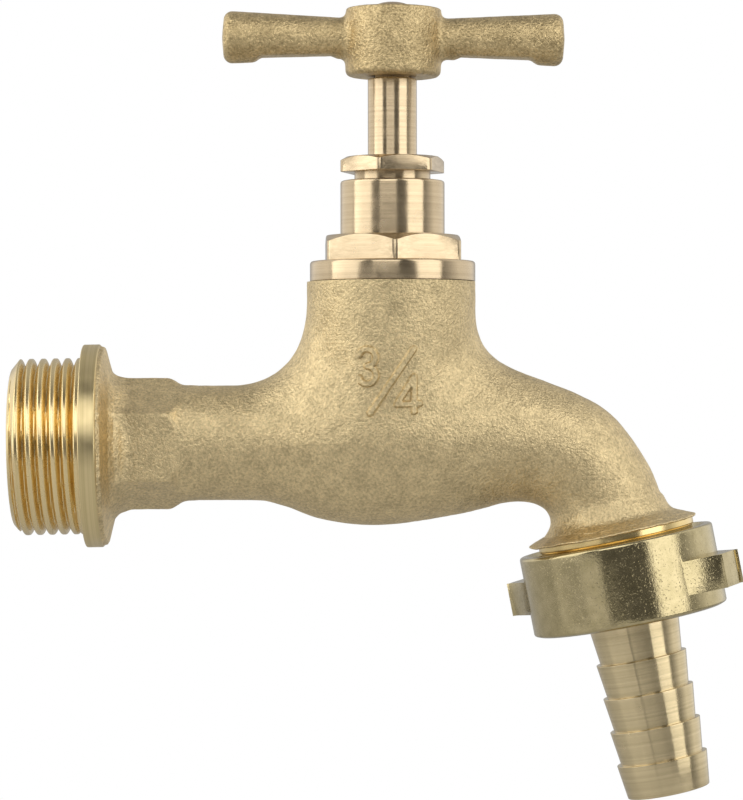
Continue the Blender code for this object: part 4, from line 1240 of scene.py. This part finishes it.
def make_lights():
    softbox("left", (-96, -45), (-5, 55), 1.6)
    softbox("right", (31, 74), (-8, 60), 1.75)
    softbox("top", (-31, 11), (16, 51), 1.72)
    softbox("low", (-50, -22), (-35, -4), 0.6)
    softbox("dim", (-90, -50), (-35, -5), 0.33)
    softbox("front", (-18, 38), (-34, -13), 0.6)


def make_world():
    """White to the camera. Otherwise dim in front, brighter behind, and brightest at the sides."""
    world = bpy.data.worlds.new("studio")
    world.use_nodes = True
    tree = world.node_tree
    where = add_node(tree, "TexCoord").outputs["Generated"]
    parts = add_node(tree, "SeparateXYZ", {"Vector": where})
    behind = spread(tree, parts.outputs["Y"], 0.0, 1.0, -0.35, 0.25)
    aside = add_node(tree, "Math", {0: parts.outputs["X"]}, operation="ABSOLUTE").outputs["Value"]
    plain = colours_of(tree, behind, [(0.0, (0.12, 0.12, 0.12)), (1.0, (0.46, 0.46, 0.46))])
    bright = colours_of(tree, behind, [(0.0, (0.12, 0.12, 0.12)), (1.0, (1.0, 1.0, 1.0))])
    above = spread(tree, parts.outputs["Z"], 0.1, 1.0, -0.14, -0.03)
    outward = spread(tree, aside, 0.0, 1.0, 0.3, 0.6)
    sides = add_node(tree, "Math", {0: outward, 1: above}, operation="MULTIPLY").outputs["Value"]
    room = add_node(tree, "Mix", {"Factor": sides, "A": plain, "B": bright}, data_type="RGBA")
    seen = add_node(tree, "LightPath").outputs["Is Camera Ray"]
    inputs = {"Factor": seen, "A": room.outputs["Result"], "B": (1.0, 1.0, 1.0, 1.0)}
    mixed = add_node(tree, "Mix", inputs, data_type="RGBA")
    tree.links.new(mixed.outputs["Result"], tree.nodes["Background"].inputs["Color"])
    bpy.context.scene.world = world


def make_floor():
    profile = [(0.0, 0.0), (FLOOR_R, 0.0), (FLOOR_R, -FLOOR_THICK), (0.0, -FLOOR_THICK)]
    floor = turned("floor", Matrix.Translation((SPINDLE_X, 0.0, FLOOR_Z)), profile, steps=96)
    material, tree, shader, where = new_material("floor_look", 0.0, 0.7)
    stops = [(0.3, (0.54, 0.54, 0.54)), (0.7, (0.58, 0.58, 0.58))]
    connect(tree, shader, colours_of(tree, noise_at(tree, where, 0.05), stops))
    give(floor, [material], 0)
    smooth(floor)


def make_camera():
    camera = bpy.data.cameras.new("camera")
    camera.lens = CAMERA_LENS
    camera.clip_start = 0.05
    camera.clip_end = 10.0
    obj = new_object("camera", camera, Matrix.Translation(CAMERA_SPOT))
    obj.rotation_euler = (math.pi / 2, CAMERA_ROLL, 0.0)
    bpy.context.scene.camera = obj
    bpy.context.scene.view_settings.view_transform = "Standard"


make_body()
make_bonnet()
make_gland_nut()
make_spindle()
make_handle()
make_union_nut()
make_hose_tail()
dress_hidden_pieces()
make_lights()
make_world()
make_floor()
make_camera()
